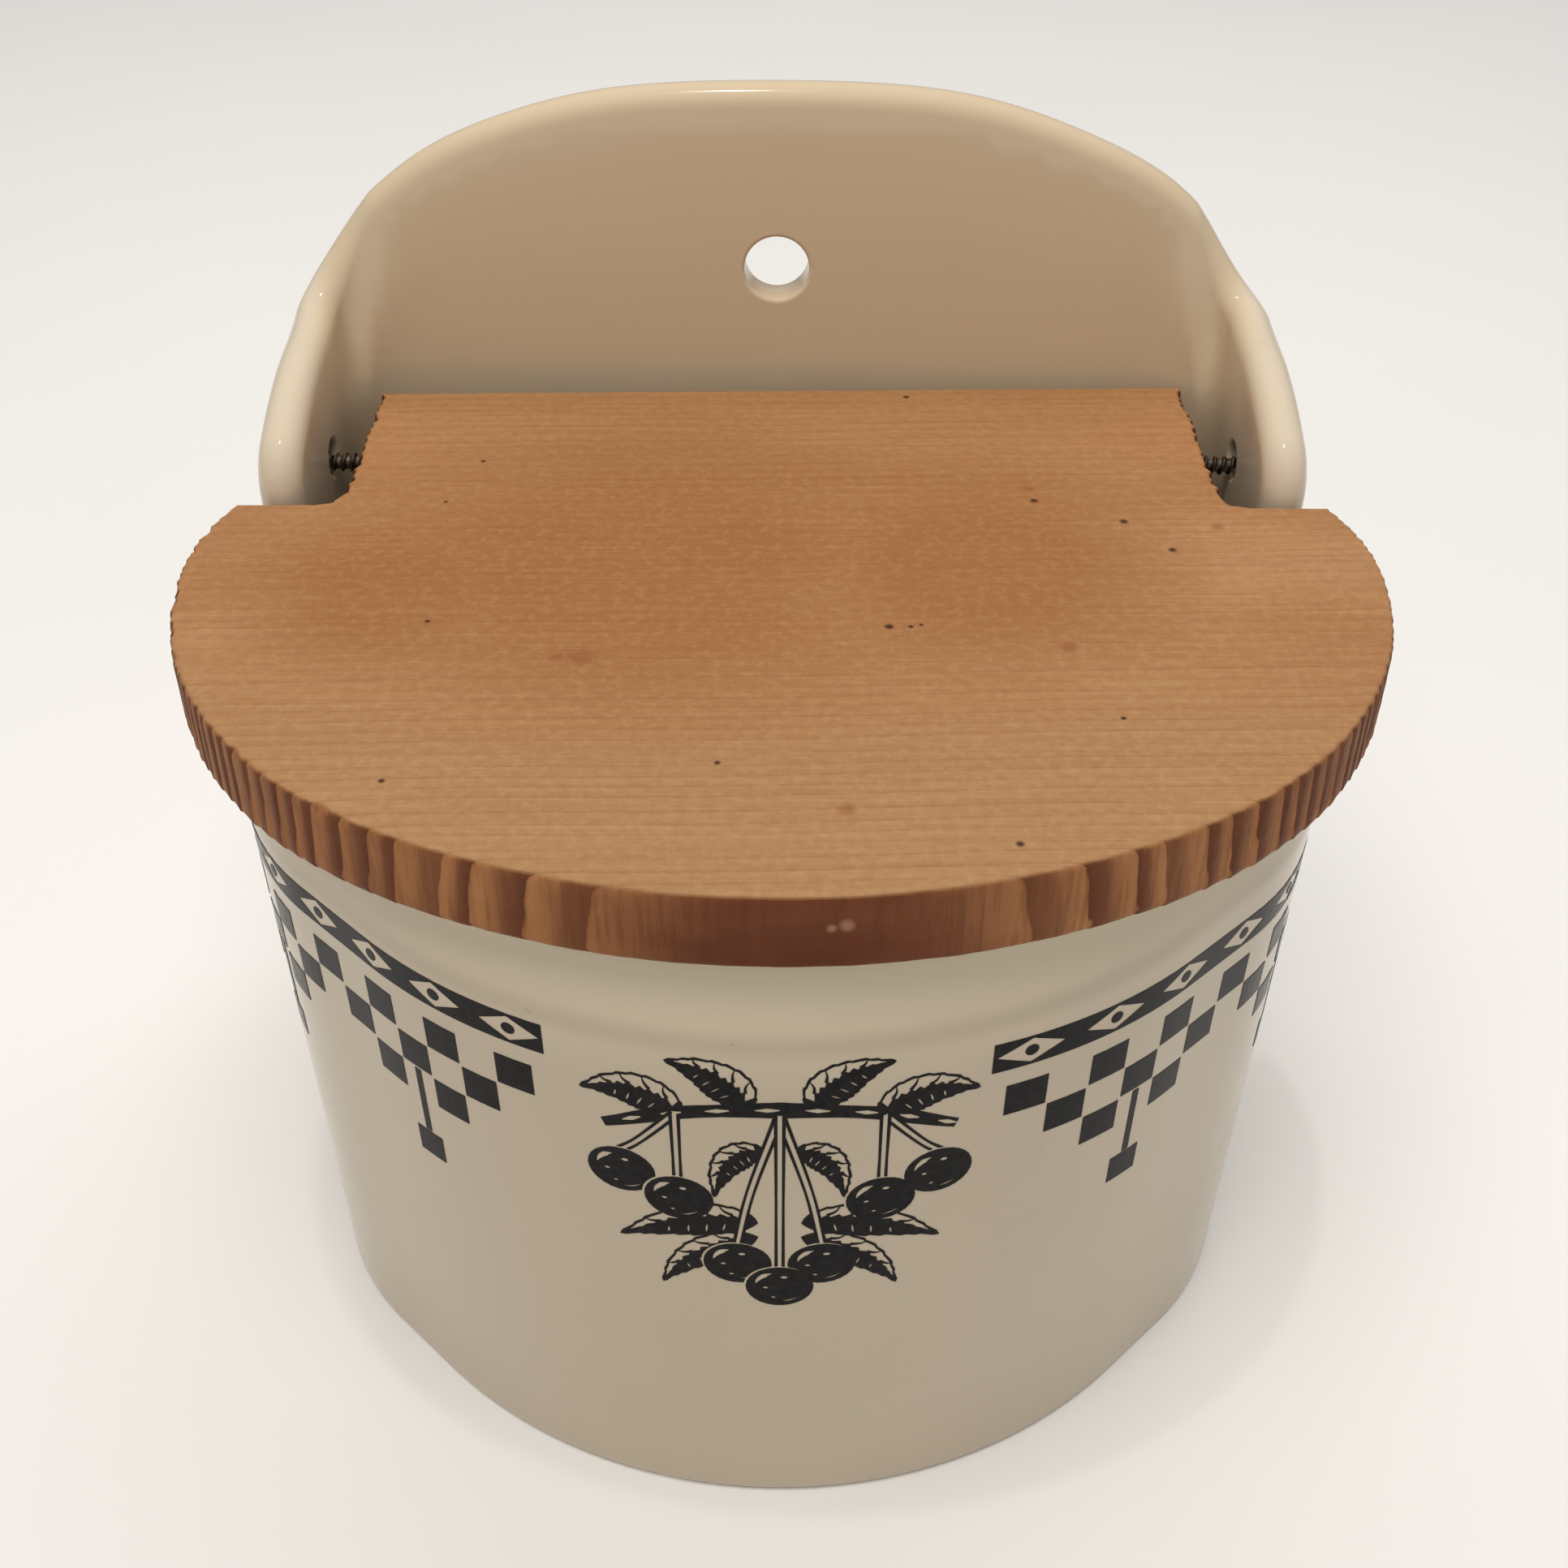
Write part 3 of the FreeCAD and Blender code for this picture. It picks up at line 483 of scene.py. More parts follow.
def rim_half(arch):
    """The rim from the middle of the back to the foot of one cheek, as (way, height) points."""
    ways = np.arange(0, 125, 0.5)
    known = arch + [(way, float(cheek_line(STRAIGHT - way))) for way in range(99, 125, 6)]
    known = [(-way, z) for way, z in known[2:0:-1]] + known
    heights = np.interp(ways, *np.array(curve(known, 10)).T)
    # blur the arch, then let it run into the cheek's own arc
    margin, blur = 60, 7.0
    mirrored = np.concatenate([heights[margin:0:-1], heights, np.repeat(heights[-1], margin)])
    kernel = np.exp(-0.5 * (np.arange(-21, 22) / blur) ** 2)
    smooth = np.convolve(mirrored, kernel / kernel.sum(), "same")[margin:margin + len(ways)]
    fade = smooth_step((ways - 94) / 10)
    mixed = smooth * (1 - fade) + cheek_line(STRAIGHT - ways) * fade
    # the cheek's front corner is a small arc inside the large one
    corner_r = 10.0
    corner_y = CHEEK_FRONT + corner_r
    slope = math.asin((CHEEK_Y - corner_y) / (CHEEK_R - corner_r))
    corner_z = CHEEK_Z + (CHEEK_R - corner_r) * math.cos(slope)
    meet_y = corner_y - corner_r * math.sin(slope)
    line = [(way, z) for way, z in zip(ways, mixed) if way < STRAIGHT - meet_y - 0.3]
    for k in range(13):
        turn = math.pi / 2 + slope + (math.pi / 2 - slope) * k / 12
        y = corner_y + corner_r * math.cos(turn)
        line.append((STRAIGHT - y, corner_z + corner_r * math.sin(turn)))
    for z in np.arange(corner_z - 1, RIM + FOOT, -1.0):
        line.append((STRAIGHT - CHEEK_FRONT, z))
    for k in range(7):
        turn = math.pi / 12 * k
        y = CHEEK_FRONT - FOOT + FOOT * math.cos(turn)
        line.append((STRAIGHT - y, RIM + FOOT - FOOT * math.sin(turn)))
    return line


def rim_line():
    """The whole rim, once round: ways rise from the middle of the back."""
    right = rim_half(ARCH_RIGHT)
    left = rim_half(ARCH_LEFT)
    front = np.linspace(right[-1][0], 2 * HALF - left[-1][0], 240)[1:-1]
    line = right + [(w, RIM) for w in front]
    line += [(2 * HALF - w, z) for w, z in reversed(left[1:])]
    return np.array(line)


RIM_WAYS, RIM_HEIGHTS = rim_line().T


def build_pot(glaze, bisque):
    rim = rim_line()
    count = len(rim)
    lap = np.array([2 * HALF, 0])
    before = np.vstack([rim[-1] - lap, rim[:-1]])
    after = np.vstack([rim[1:], rim[0] + lap])
    tangent = after - before
    tangent /= np.linalg.norm(tangent, axis=1)[:, None]
    inward = np.stack([tangent[:, 1], -tangent[:, 0]], -1)
    inward[0] = (0, -1)

    # the lip is a half round of the wall's thickness, swept along the rim
    rows = []
    for k in range(13):
        turn = math.pi * k / 12
        at = rim + inward * LIP * (1 - math.sin(turn))
        rows.append(wall_points(at[:, 0], at[:, 1], LIP * (1 - math.cos(turn))))
    points = list(np.concatenate(rows))
    faces = lattice(len(rows), count)

    # outer and inner faces fill the unrolled wall between the lip and the base
    edge = rim + inward * LIP
    steps = 2 * np.round(HALF / 2.0)
    ring = np.arange(steps) / steps * 2 * HALF
    for depth, foot in ((0.0, 1.5), (WALL, 12.0)):
        seam = dense([(0.0, foot), tuple(edge[0])], 3.0, closed=False)[1:-1]
        outline = [(w, foot) for w in ring] + [(2 * HALF, foot)]
        outline += [(p[0] + 2 * HALF, p[1]) for p in seam]
        outline += [tuple(edge[0] + lap)] + [tuple(p) for p in edge[::-1]]
        outline += [tuple(p) for p in reversed(seam)]
        flat, triangles, _ = triangulate([outline], 3.0)
        flat = np.array(flat)
        first = len(points)
        points.extend(wall_points(flat[:, 0], flat[:, 1], depth))
        faces.extend([first + i for i in t] for t in triangles)

    def add_rings(levels):
        first = len(points)
        for depth, height in levels:
            points.extend(wall_points(ring, height, depth))
        faces.extend(lattice(len(levels), len(ring), first))
        last = first + (len(levels) - 1) * len(ring)
        centre = len(points)
        points.append(np.array([0.0, 2.0, levels[-1][1]]))
        faces.extend([last + i, last + (i + 1) % len(ring), centre] for i in range(len(ring)))

    # rounded outer foot with a bare recessed base, and the rounded floor inside
    quarter = [math.radians(a) for a in range(0, 91, 15)]
    foot = [(1.5 * (1 - math.cos(a)), 1.5 * (1 - math.sin(a))) for a in quarter]
    add_rings(foot + [(5.5, 0.0), (6.2, 0.25), (6.6, 0.8), (9, 0.9)])
    add_rings([(WALL + 5 * (1 - math.cos(a)), 12 - 5 * math.sin(a)) for a in quarter])

    pot = make_object("glazed_pot", points, faces, glaze, "box")
    pot.data.materials.append(bisque)
    drill_pot(pot)
    for face in pot.data.polygons:
        if face.normal.z < -0.5 and face.center.z < 1.2 * MM:
            face.material_index = 1
    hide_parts("ceramic_box")


def trumpet(radius, start, end, flare):
    """Profile of a hole whose two mouths are rounded by flare, run on 1.5 mm past both ends."""
    profile = [(start + flare * (1 - math.cos(a)), radius + flare * (1 - math.sin(a)))
               for a in (math.pi / 2 * k / 7 for k in range(8))]
    back = [(end - (way - start), wide) for way, wide in reversed(profile)]
    first = (start - 1.5, profile[0][1] + 0.02)
    last = (end + 1.5, profile[0][1] + 0.02)
    return [first] + profile + back + [last]


def drill_pot(pot):
    hole_x, hole_z, hole_r, pivot_r, screw_drop = -1.1, 150.3, 5.4, 3.0, 0.8
    hole = trumpet(hole_r, 0.02, WALL - 0.02, 0.6)
    centre = (hole_x, POT_BACK - WALL, hole_z)
    cutters = [plain_cutter("hanging_cutter", *turned(centre, (0, 1, 0), hole, 64))]
    screw_low, screw_high = (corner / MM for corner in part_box("right_pivot_screw"))
    pivot = (screw_low + screw_high) / 2
    cheek = trumpet(pivot_r, 0.02, WALL - 0.02, 0.8)
    for side in (-1, 1):
        centre = (side * (POT_X - WALL), pivot.y, pivot.z + screw_drop)
        cutters.append(plain_cutter(f"cheek_cutter_{side}", *turned(centre, (side, 0, 0), cheek, 48)))
    cut(pot, cutters)
    pot.data.polygons.foreach_set("use_smooth", [True] * len(pot.data.polygons))
    pot.data.set_sharp_from_angle(angle=math.radians(40))


# ---------------------------------------------------------------- printed decoration

def print_piece(name, shapes, to_wall, ink):
    """One printed piece. Shapes are painted in order, ink or bare, and only ink is kept."""
    outlines = [dense(points, 1.2) for points, _ in shapes]
    inked = [is_ink for _, is_ink in shapes]
    flat, triangles, owners = triangulate(outlines, 2.0)
    kept = [t for t, owner in zip(triangles, owners) if inked[owner]]
    used = sorted({i for t in kept for i in t})
    number = {old: new for new, old in enumerate(used)}
    flat = np.array([flat[i] for i in used])
    kept = [[number[i] for i in t] for t in kept]
    way, height = to_wall(flat[:, 0], flat[:, 1])
    proud, sunk = 0.07, 0.05
    points = np.concatenate([wall_points(way, height, -proud), wall_points(way, height, sunk)])
    count = len(used)
    faces = [list(t) for t in kept] + [[i + count for i in reversed(t)] for t in kept]
    sides = {}
    for t in kept:
        for a, b in zip(t, t[1:] + t[:1]):
            sides[(a, b)] = True
    faces += [[b, a, a + count, b + count] for a, b in sides if (b, a) not in sides]
    return make_object(name, points, faces, ink, "box", smooth=False)


def box_shape(x, z, wide, tall):
    return [(x - wide / 2, z - tall / 2), (x + wide / 2, z - tall / 2), (x + wide / 2, z + tall / 2),
            (x - wide / 2, z + tall / 2)]


def band_shapes(pitch, columns):
    """A strip of dotted lozenges over stepped squares, six columns to a repeat, from column 0."""
    overhang = pitch * 0.83
    end = (columns - 1) * pitch + overhang
    shapes = [(box_shape((end - overhang) / 2, 0, end + overhang, 5.3), True)]
    first_row, row_step, wide, tall = -8.7, -6.15, pitch * 0.94, 5.7
    long, high = pitch * 0.76, 2.25
    for column in range(columns):
        x = column * pitch
        if column % 2 == 0:
            shapes.append(([(x - long, 0), (x, -high), (x + long, 0), (x, high)], False))
            shapes.append(([(x + 1.05 * math.cos(a), 0.95 * math.sin(a))
                            for a in np.arange(0, 2 * math.pi, 0.35)], True))
        shapes.append((box_shape(x, first_row + row_step * (column % 2), wide, tall), True))
        if column % 6 in (2, 4):
            shapes.append((box_shape(x, first_row + row_step * 2, wide, tall), True))
        if column % 6 == 3:
            shapes.append((box_shape(x, -24.6, 1.25, 12.8), True))
            shapes.append((box_shape(x, -33.9, pitch * 0.84, 5.2), True))
    return shapes


def stroke(points, widths, count=5):
    """Outline of a line of changing width along a smooth curve."""
    line = curve(points, count)
    widths = np.interp(np.linspace(0, 1, len(line)), np.linspace(0, 1, len(widths)), widths)
    left, right = [], []
    for k, point in enumerate(line):
        way = line[min(k + 1, len(line) - 1)] - line[max(k - 1, 0)]
        across = np.array([-way[1], way[0]]) / max(np.linalg.norm(way), 1e-6)
        left.append(point + across * widths[k] / 2)
        right.append(point - across * widths[k] / 2)
    return left + right[::-1]


def leaf_shapes(base, control, tip, wide, dark):
    """A leaf: one half solid with small nicks, the other bare with a jagged shade along the rib."""
    teeth = 9
    base, control, tip = map(np.array, (base, control, tip))
    ts = np.linspace(0, 1, 37)
    rib = [(1 - t) ** 2 * base + 2 * t * (1 - t) * control + t * t * tip for t in ts]

    def edge(side, share, first=0.0, last=1.0, tooth=0.0, inset=0.0):
        line = []
        for t, spot in zip(ts, rib):
            if not first <= t <= last:
                continue
            way = 2 * (1 - t) * (control - base) + 2 * t * (tip - control)
            across = np.array([-way[1], way[0]]) / np.linalg.norm(way)
            half = wide / 2 * math.sin(math.pi * t ** 0.8) ** 0.9 * (1.12 - 0.3 * t)
            half = half * share + tooth * ((t * teeth) % 1) - inset
            line.append(spot + across * side * max(half, 0.03))
        return line

    shapes = [(edge(1, 1, tooth=0.32) + edge(-1, 1, tooth=0.32)[::-1], True)]
    bare = edge(-dark, 1, 0.1, 0.94, tooth=0.22, inset=0.36)
    jag = [a + (b - a) * (0.16 + 0.3 * ((k * 0.31) % 1)) for k, (a, b) in
           enumerate(zip(edge(1, 0, 0.1, 0.94), bare))]
    shapes.append((bare + jag[::-1], False))
    for k in range(5, len(bare) - 4, 6):
        shapes.append((stroke([jag[k - 2], (jag[k] + bare[k]) / 2, bare[k + 1]], [0.5, 0.3, 0.1], 3), True))
    nicks = edge(dark, 0.78, 0.22, 0.86)
    roots = edge(dark, 0.3, 0.22, 0.86)
    for k in range(1, len(nicks) - 2, 5):
        shapes.append((stroke([roots[k], nicks[k + 1]], [0.08, 0.34, 0.1], 3), False))
    return shapes


def cherry_shapes(x, z):
    """A dark cherry, parted from the one behind by a bare arc, with a glint and a few dots."""
    wide, tall, glint = 4.9, 4.3, 2.4

    def spot(turn, far, grow=0.0):
        return np.array([x + math.cos(turn) * (wide * far + grow), z + math.sin(turn) * (tall * far + grow)])

    rim = [spot(a, 1, 0.12) for a in np.linspace(glint - 1.5, glint + 1.3, 12)]
    shapes = [(stroke(rim, [0.1, 0.5, 0.5, 0.1], 2), False)]
    shapes.append(([spot(a, 1) for a in np.linspace(0, 2 * math.pi, 26, endpoint=False)], True))
    arc = [spot(a, 0.72) for a in np.linspace(glint - 0.5, glint + 0.55, 5)]
    shapes.append((stroke(arc, [0.15, 0.95, 0.7, 0.1], 3), False))
    arc = [spot(a, 0.78) for a in np.linspace(glint + 2.3, glint + 3.1, 4)]
    shapes.append((stroke(arc, [0.1, 0.32, 0.1], 3), False))
    for turn, far, size in ((glint - 1.1, 0.5, 0.34), (glint + 0.9, 0.42, 0.26), (glint + 2.0, 0.6, 0.22)):
        centre = spot(turn, far)
        shapes.append(([centre + size * np.array([math.cos(a) * 1.6, math.sin(a)])
                        for a in np.arange(0, 6.2, 0.9)], False))
    return shapes


def stem_shapes(points):
    """A stem drawn as two close lines, with a bare heart."""
    return [(stroke(points, [1.6, 1.35, 1.5]), True), (stroke(points, [0.6, 0.62, 0.5]), False)]


def sprig_shapes():
    """A stock sprig in mirror symmetry: an arched branch, leaves, two pairs of cherries and a bunch."""
    # each right-hand leaf as base, control point, tip and width
    leaves = [((4, 90), (7, 97), (15, 98), 6.5), ((13, 88), (19, 94), (27, 90), 6.5),
              ((2, 82), (8, 82), (9, 72), 5), ((3, 67), (12, 69), (23, 61), 6.5),
              ((3, 64), (13, 61), (17, 52), 5.5)]
    shapes = []
    for side in (-1, 1):
        for base, control, tip, wide in leaves:
            shapes += leaf_shapes(*[(side * x, z) for x, z in (base, control, tip)], wide, -side)
    branch = [(-24, 84), (-13, 88.5), (0, 90), (13, 88.5), (24, 84)]
    shapes.append((stroke(branch, [1.6, 2.6, 2.2, 3.0, 2.2, 2.6, 1.6]), True))
    grain = curve(branch, 4)
    for start, end in zip(grain[1:-1:2], grain[2::2]):
        shapes.append((stroke([start, end], [0.25, 0.9, 0.3], 4), False))
    # each cherry hangs from a knot on the branch
    cherries = []
    for side in (-1, 1):
        cherries += [((side * 14, 88), (side * 22, 75)), ((side * 14, 88), (side * 14, 71))]
    cherries += [((0, 89), (-6, 58)), ((0, 89), (6, 58)), ((0, 89), (0, 53))]
    for knot, (x, z) in cherries:
        middle = ((knot[0] + 2 * x) / 3, (knot[1] + z) / 2)
        shapes += stem_shapes([knot, middle, (x, z + 4)])
    for _, (x, z) in cherries:
        shapes += cherry_shapes(x, z)
    return shapes


def build_prints(ink):
    """The prints, placed by way from the nose and by height; the right band is wider and sinks a little."""
    print_piece("sprig_print", sprig_shapes(), lambda u, z: (HALF - u, z), ink)
    print_piece("left_band_print", band_shapes(6.25, 19), lambda u, z: (HALF + 37.0 + u, z + 96.8), ink)
    print_piece("right_band_print", band_shapes(6.95, 17),
                lambda u, z: (HALF - 34.2 - u, z + 94.3 - 0.04 * np.minimum(u, 60)), ink)


# ---------------------------------------------------------------- wooden lid

def ring_levels():
    """Where the dark late-wood lines lie across the board, from its nose to its tongue."""
    dice = random.Random(11)
    levels = [-75, -69, -67, -64.5, -63, -60, -58, -55.5, -52.5, -50.5, -48.5]
    while levels[-1] < 66:
        levels.append(levels[-1] + dice.uniform(1.7, 3.1))
    return levels


RINGS = ring_levels()
RING_SLOPE, RING_TILT, RING_LEVEL = 0.0385, 0.05, 125.0
RING_WAVES = [(0.30, 0.031, 0.6), (0.25, 0.083, 2.0)]    # size, scale and shift of each wave along x


def ring_phase(x, y, z):
    """Growth rings through the board: each whole number is one late-wood line."""
    bend = sum(size * np.sin(scale * x + shift) for size, scale, shift in RING_WAVES)
    bend = bend + RING_TILT * (z - RING_LEVEL) - RING_SLOPE * x
    return np.interp(y + bend, RINGS, np.arange(len(RINGS)))


def lid_outline():
    """The lid board's outline, anticlockwise from its nose's left end, as points."""
    low, high = (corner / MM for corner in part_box("lid_board"))
    half, nose_y = high.x, low.y
    # levels of the widest place and the shoulder; radii of flank, back and notch; the tongue's half width
    widest, shoulder, flank, back, notch, tongue = 3.6, 20.4, 72.0, 40.0, 3.5, 68.8
    rear_right, rear_left = 63.0, 59.6
    depth = widest - nose_y
    inset = half - flank
    nose = (inset ** 2 + depth ** 2 - flank ** 2) / (2 * (depth - flank))
    middle = (0, nose_y + nose)
    lean = math.atan2(middle[1] - widest, inset)
    rise = math.asin((shoulder - widest) / back)

    def arc(centre, radius, start, end):
        count = max(3, int(abs(end - start) * radius / 2))
        return [(centre[0] + radius * math.cos(a), centre[1] + radius * math.sin(a))
                for a in np.linspace(start, end, count)]

    quarter = math.pi / 2
    right = arc(middle, nose, -quarter, -lean)
    right += arc((inset, widest), flank, -lean, 0)[1:]
    right += arc((half - back, widest), back, 0, rise)[1:]
    right += arc((tongue + notch, shoulder + notch), notch, -quarter, -2 * quarter)
    left = [(-x, y) for x, y in reversed(right)]
    return right + [(tongue, rear_right), (-tongue, rear_left)] + left[:-1]


def smooth_noise(count, step, seed):
    """Periodic noise with about one swing for each step points, mostly within 1 of zero."""
    dice = np.random.default_rng(seed)
    waves = max(4, count // step)
    knots = dice.uniform(-1, 1, waves)
    at = np.arange(count) * waves / count
    first = np.floor(at).astype(int)
    share = smooth_step(at - first)
    return knots[first % waves] * (1 - share) + knots[(first + 1) % waves] * share


def build_lid(wood):
    low, high = (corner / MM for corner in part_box("lid_board"))
    line = np.array(dense(lid_outline(), 0.45))
    count = len(line)
    way = np.roll(line, -1, 0) - np.roll(line, 1, 0)
    way /= np.linalg.norm(way, axis=1)[:, None]
    outward = np.stack([way[:, 1], -way[:, 0]], -1)
    outward = sum(np.roll(outward, k, 0) * math.exp(-(k / 6) ** 2) for k in range(-13, 14))
    outward /= np.linalg.norm(outward, axis=1)[:, None]

    # late wood stands proud on the sawn end grain, and the soft wood between has worn back
    across = np.abs(outward[:, 0])
    phase = ring_phase(line[:, 0], line[:, 1], RING_LEVEL) % 1.0
    soft = 1 - (1 - phase) ** 2
    tongue = (line[:, 1] > 24) & (across > 0.9)
    worn = 0.22 * soft * smooth_step((across - 0.12) / 0.5) * (1 + 0.5 * smooth_noise(count, 23, 8))
    worn += 0.05 * (1 + smooth_noise(count, 5, 3)) + 0.04 * (1 + smooth_noise(count, 17, 4))
    worn += np.where(tongue, 0.30 * (1 + smooth_noise(count, 4, 5)) + 0.2 * soft, 0)
    thick = high.z - low.z
    # inset and rise of each row from the underside to the top; only the upper arris is chipped
    levels = [(0.8, 0.0), (0.4, 0.05), (0.1, 0.4), (0.0, 1.1), (0.0, 2.6), (0.0, 4.4), (0.0, 6.2),
              (0.0, 8.0), (0.0, thick - 1.4), (0.04, thick - 0.7), (0.22, thick - 0.2), (0.5, thick - 0.03),
              (0.85, thick)]
    points, faces = [], []
    for number, (inset, rise) in enumerate(levels):
        rough = 0.035 * (1 + smooth_noise(count, 3, 20 + number)) * (across > 0.15)
        chip = np.clip(smooth_noise(count, 7, 40) - 0.55, 0, 1) * (1.2 if number > 8 else 0) * (across > 0.3)
        ring = line - outward * (inset + worn + rough + chip)[:, None]
        points.extend(np.column_stack([ring, np.full(count, low.z + rise)]))
    faces = lattice(len(levels), count)
    for number, height in ((0, low.z), (len(levels) - 1, low.z + thick)):
        outline = [tuple(p[:2]) for p in points[number * count:(number + 1) * count]]
        flat, triangles, _ = triangulate([outline], 5.0)
        first = len(points)
        points.extend((x, y, height) for x, y in flat)
        faces.extend([first + i for i in t] for t in triangles)
    lid = make_object("wooden_lid", points, faces, wood, "lid")
    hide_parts("lid_board")


def wood_material():
    wood = Shader("sawn_pine", IOR=1.45, Specular_IOR_Level=0.15)
    place = wood.place()
    x, y, z = (wood.math("MULTIPLY", part, 1000.0) for part in list(wood.split(place))[:3])

    # the same rings as ring_phase, with a finer wobble
    bent = y
    for size, scale, shift in RING_WAVES:
        angle = wood.math("ADD", wood.math("MULTIPLY", x, scale), shift)
        bent = wood.math("ADD", bent, wood.math("MULTIPLY", wood.math("SINE", angle), size))
    bent = wood.math("ADD", bent, wood.math("MULTIPLY", wood.math("SUBTRACT", z, RING_LEVEL), RING_TILT))
    bent = wood.math("SUBTRACT", bent, wood.math("MULTIPLY", x, RING_SLOPE))
    wobble = wood.noise(wood.stretch(place, (30, 60, 60)), 1.0, 3)
    bent = wood.math("ADD", bent, wood.math("MULTIPLY", wood.math("SUBTRACT", wobble, 0.5), 0.7))
    start, span = RINGS[0], RINGS[-1] - RINGS[0]
    across = wood.math("DIVIDE", wood.math("SUBTRACT", bent, start), span)
    counter = wood.node("ShaderNodeFloatCurve", {"Value": across})
    knots = counter.mapping.curves[0].points
    while len(knots) < len(RINGS):
        knots.new(0.5, 0.5)
    for number, (knot, level) in enumerate(zip(knots, RINGS)):
        knot.location = ((level - start) / span, number / (len(RINGS) - 1))
        knot.handle_type = "VECTOR"
    counter.mapping.update()
    phase = wood.math("MULTIPLY", counter.outputs["Value"], len(RINGS) - 1.0)
    ring = wood.math("FRACT", phase)
    late = wood.steps(ring, [(0.02, 1.0), (0.30, 0.8), (0.50, 0.32), (0.75, 0.04), (0.93, 0.0), (0.98, 0.25),
                             (1.0, 1.0)])
    line = wood.steps(ring, [(0.02, 1.0), (0.12, 0.35), (0.4, 0.0), (0.90, 0.0), (0.96, 0.2), (1.0, 1.0)])
    number = wood.math("FLOOR", phase)
    fate = wood.node("ShaderNodeTexWhiteNoise", {"W": number}, noise_dimensions="1D").outputs["Value"]
    late = wood.math("MULTIPLY", late, wood.steps(fate, [(0.0, 0.75), (0.6, 1.0)]))
    line = wood.math("MULTIPLY", line, wood.steps(fate, [(0.0, 0.2), (0.9, 1.0)]))

    normal = wood.split(wood.node("ShaderNodeNewGeometry").outputs["Normal"])
    level = wood.math("ABSOLUTE", normal[2])
    edge = wood.steps(level, [(0.35, 1.0), (0.8, 0.0)])

    fibre = wood.noise(wood.stretch(place, (45, 1900, 700)), 1.0, 3, 0.65)
    streak = wood.noise(wood.stretch(place, (14, 420, 200)), 1.0, 2, 0.5)
    cloud = wood.noise(wood.stretch(place, (16, 34, 20)), 1.0, 3, 0.6)
    top = wood.steps(cloud, [(0.32, (0.360, 0.175, 0.075)), (0.5, (0.385, 0.197, 0.088)),
                             (0.68, (0.425, 0.234, 0.112))])
    front = wood.math("DIVIDE", wood.math("SUBTRACT", -15.0, y), 45.0, clamp=True)
    top = wood.mix(wood.math("MULTIPLY", front, 0.7), top, (0.400, 0.243, 0.121))
    rear = wood.math("DIVIDE", wood.math("SUBTRACT", y, 28.0), 20.0, clamp=True)
    top = wood.mix(wood.math("MULTIPLY", rear, 0.7), top, (0.460, 0.240, 0.104))
    # a redder shade over the middle of the board
    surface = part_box("lid_board")[1].z
    shade = wood.spots(place, [((-0.022, 0.004, surface), 52), ((0.030, 0.002, surface), 36),
                               ((-0.056, -0.006, surface), 26)])
    top = wood.mix(wood.math("MULTIPLY", shade, 0.78), top, (0.300, 0.130, 0.048))
    top = wood.mix(wood.math("MULTIPLY", late, 0.07), top, (0.235, 0.090, 0.032))
    top = wood.mix(wood.math("MULTIPLY", line, 0.3), top, (0.235, 0.082, 0.030))
    fleck = wood.noise(place, 620, 2, 0.7)
    top = wood.mix(wood.steps(fleck, [(0.36, 0.16), (0.5, 0.0)]), top, (0.28, 0.115, 0.042))
    top = wood.mix(wood.steps(fleck, [(0.5, 0.0), (0.64, 0.14)]), top, (0.58, 0.36, 0.19))
    top = wood.mix(wood.steps(streak, [(0.38, 0.07), (0.62, 0.0)]), top, (0.250, 0.102, 0.040))
    top = wood.mix(wood.steps(fibre, [(0.35, 0.15), (0.6, 0.0)]), top, (0.225, 0.092, 0.036))
    top = wood.mix(wood.steps(fibre, [(0.6, 0.0), (0.8, 0.14)]), top, (0.60, 0.40, 0.22))

    blotch = wood.noise(wood.stretch(place, (26, 18, 60)), 1.0, 3, 0.6)
    end = wood.steps(blotch, [(0.35, (0.315, 0.126, 0.046)), (0.55, (0.385, 0.167, 0.064)),
                              (0.75, (0.450, 0.212, 0.090))])
    end = wood.mix(wood.math("MULTIPLY", late, 0.9), end, (0.098, 0.025, 0.010))
    # the nose is one wide reddish ring
    nose = wood.math("DIVIDE", wood.math("SUBTRACT", -68.7, bent), 3.0, clamp=True)
    red = wood.steps(blotch, [(0.35, (0.072, 0.014, 0.006)), (0.55, (0.120, 0.029, 0.012)),
                              (0.75, (0.175, 0.052, 0.021))])
    end = wood.mix(wood.math("MULTIPLY", nose, 0.85), end, red)
    pores = wood.noise(wood.stretch(place, (900, 900, 60)), 1.0, 3, 0.7)
    end = wood.mix(wood.steps(pores, [(0.36, 0.4), (0.55, 0.0)]), end, (0.10, 0.034, 0.015))
    colour = wood.mix(edge, top, end)

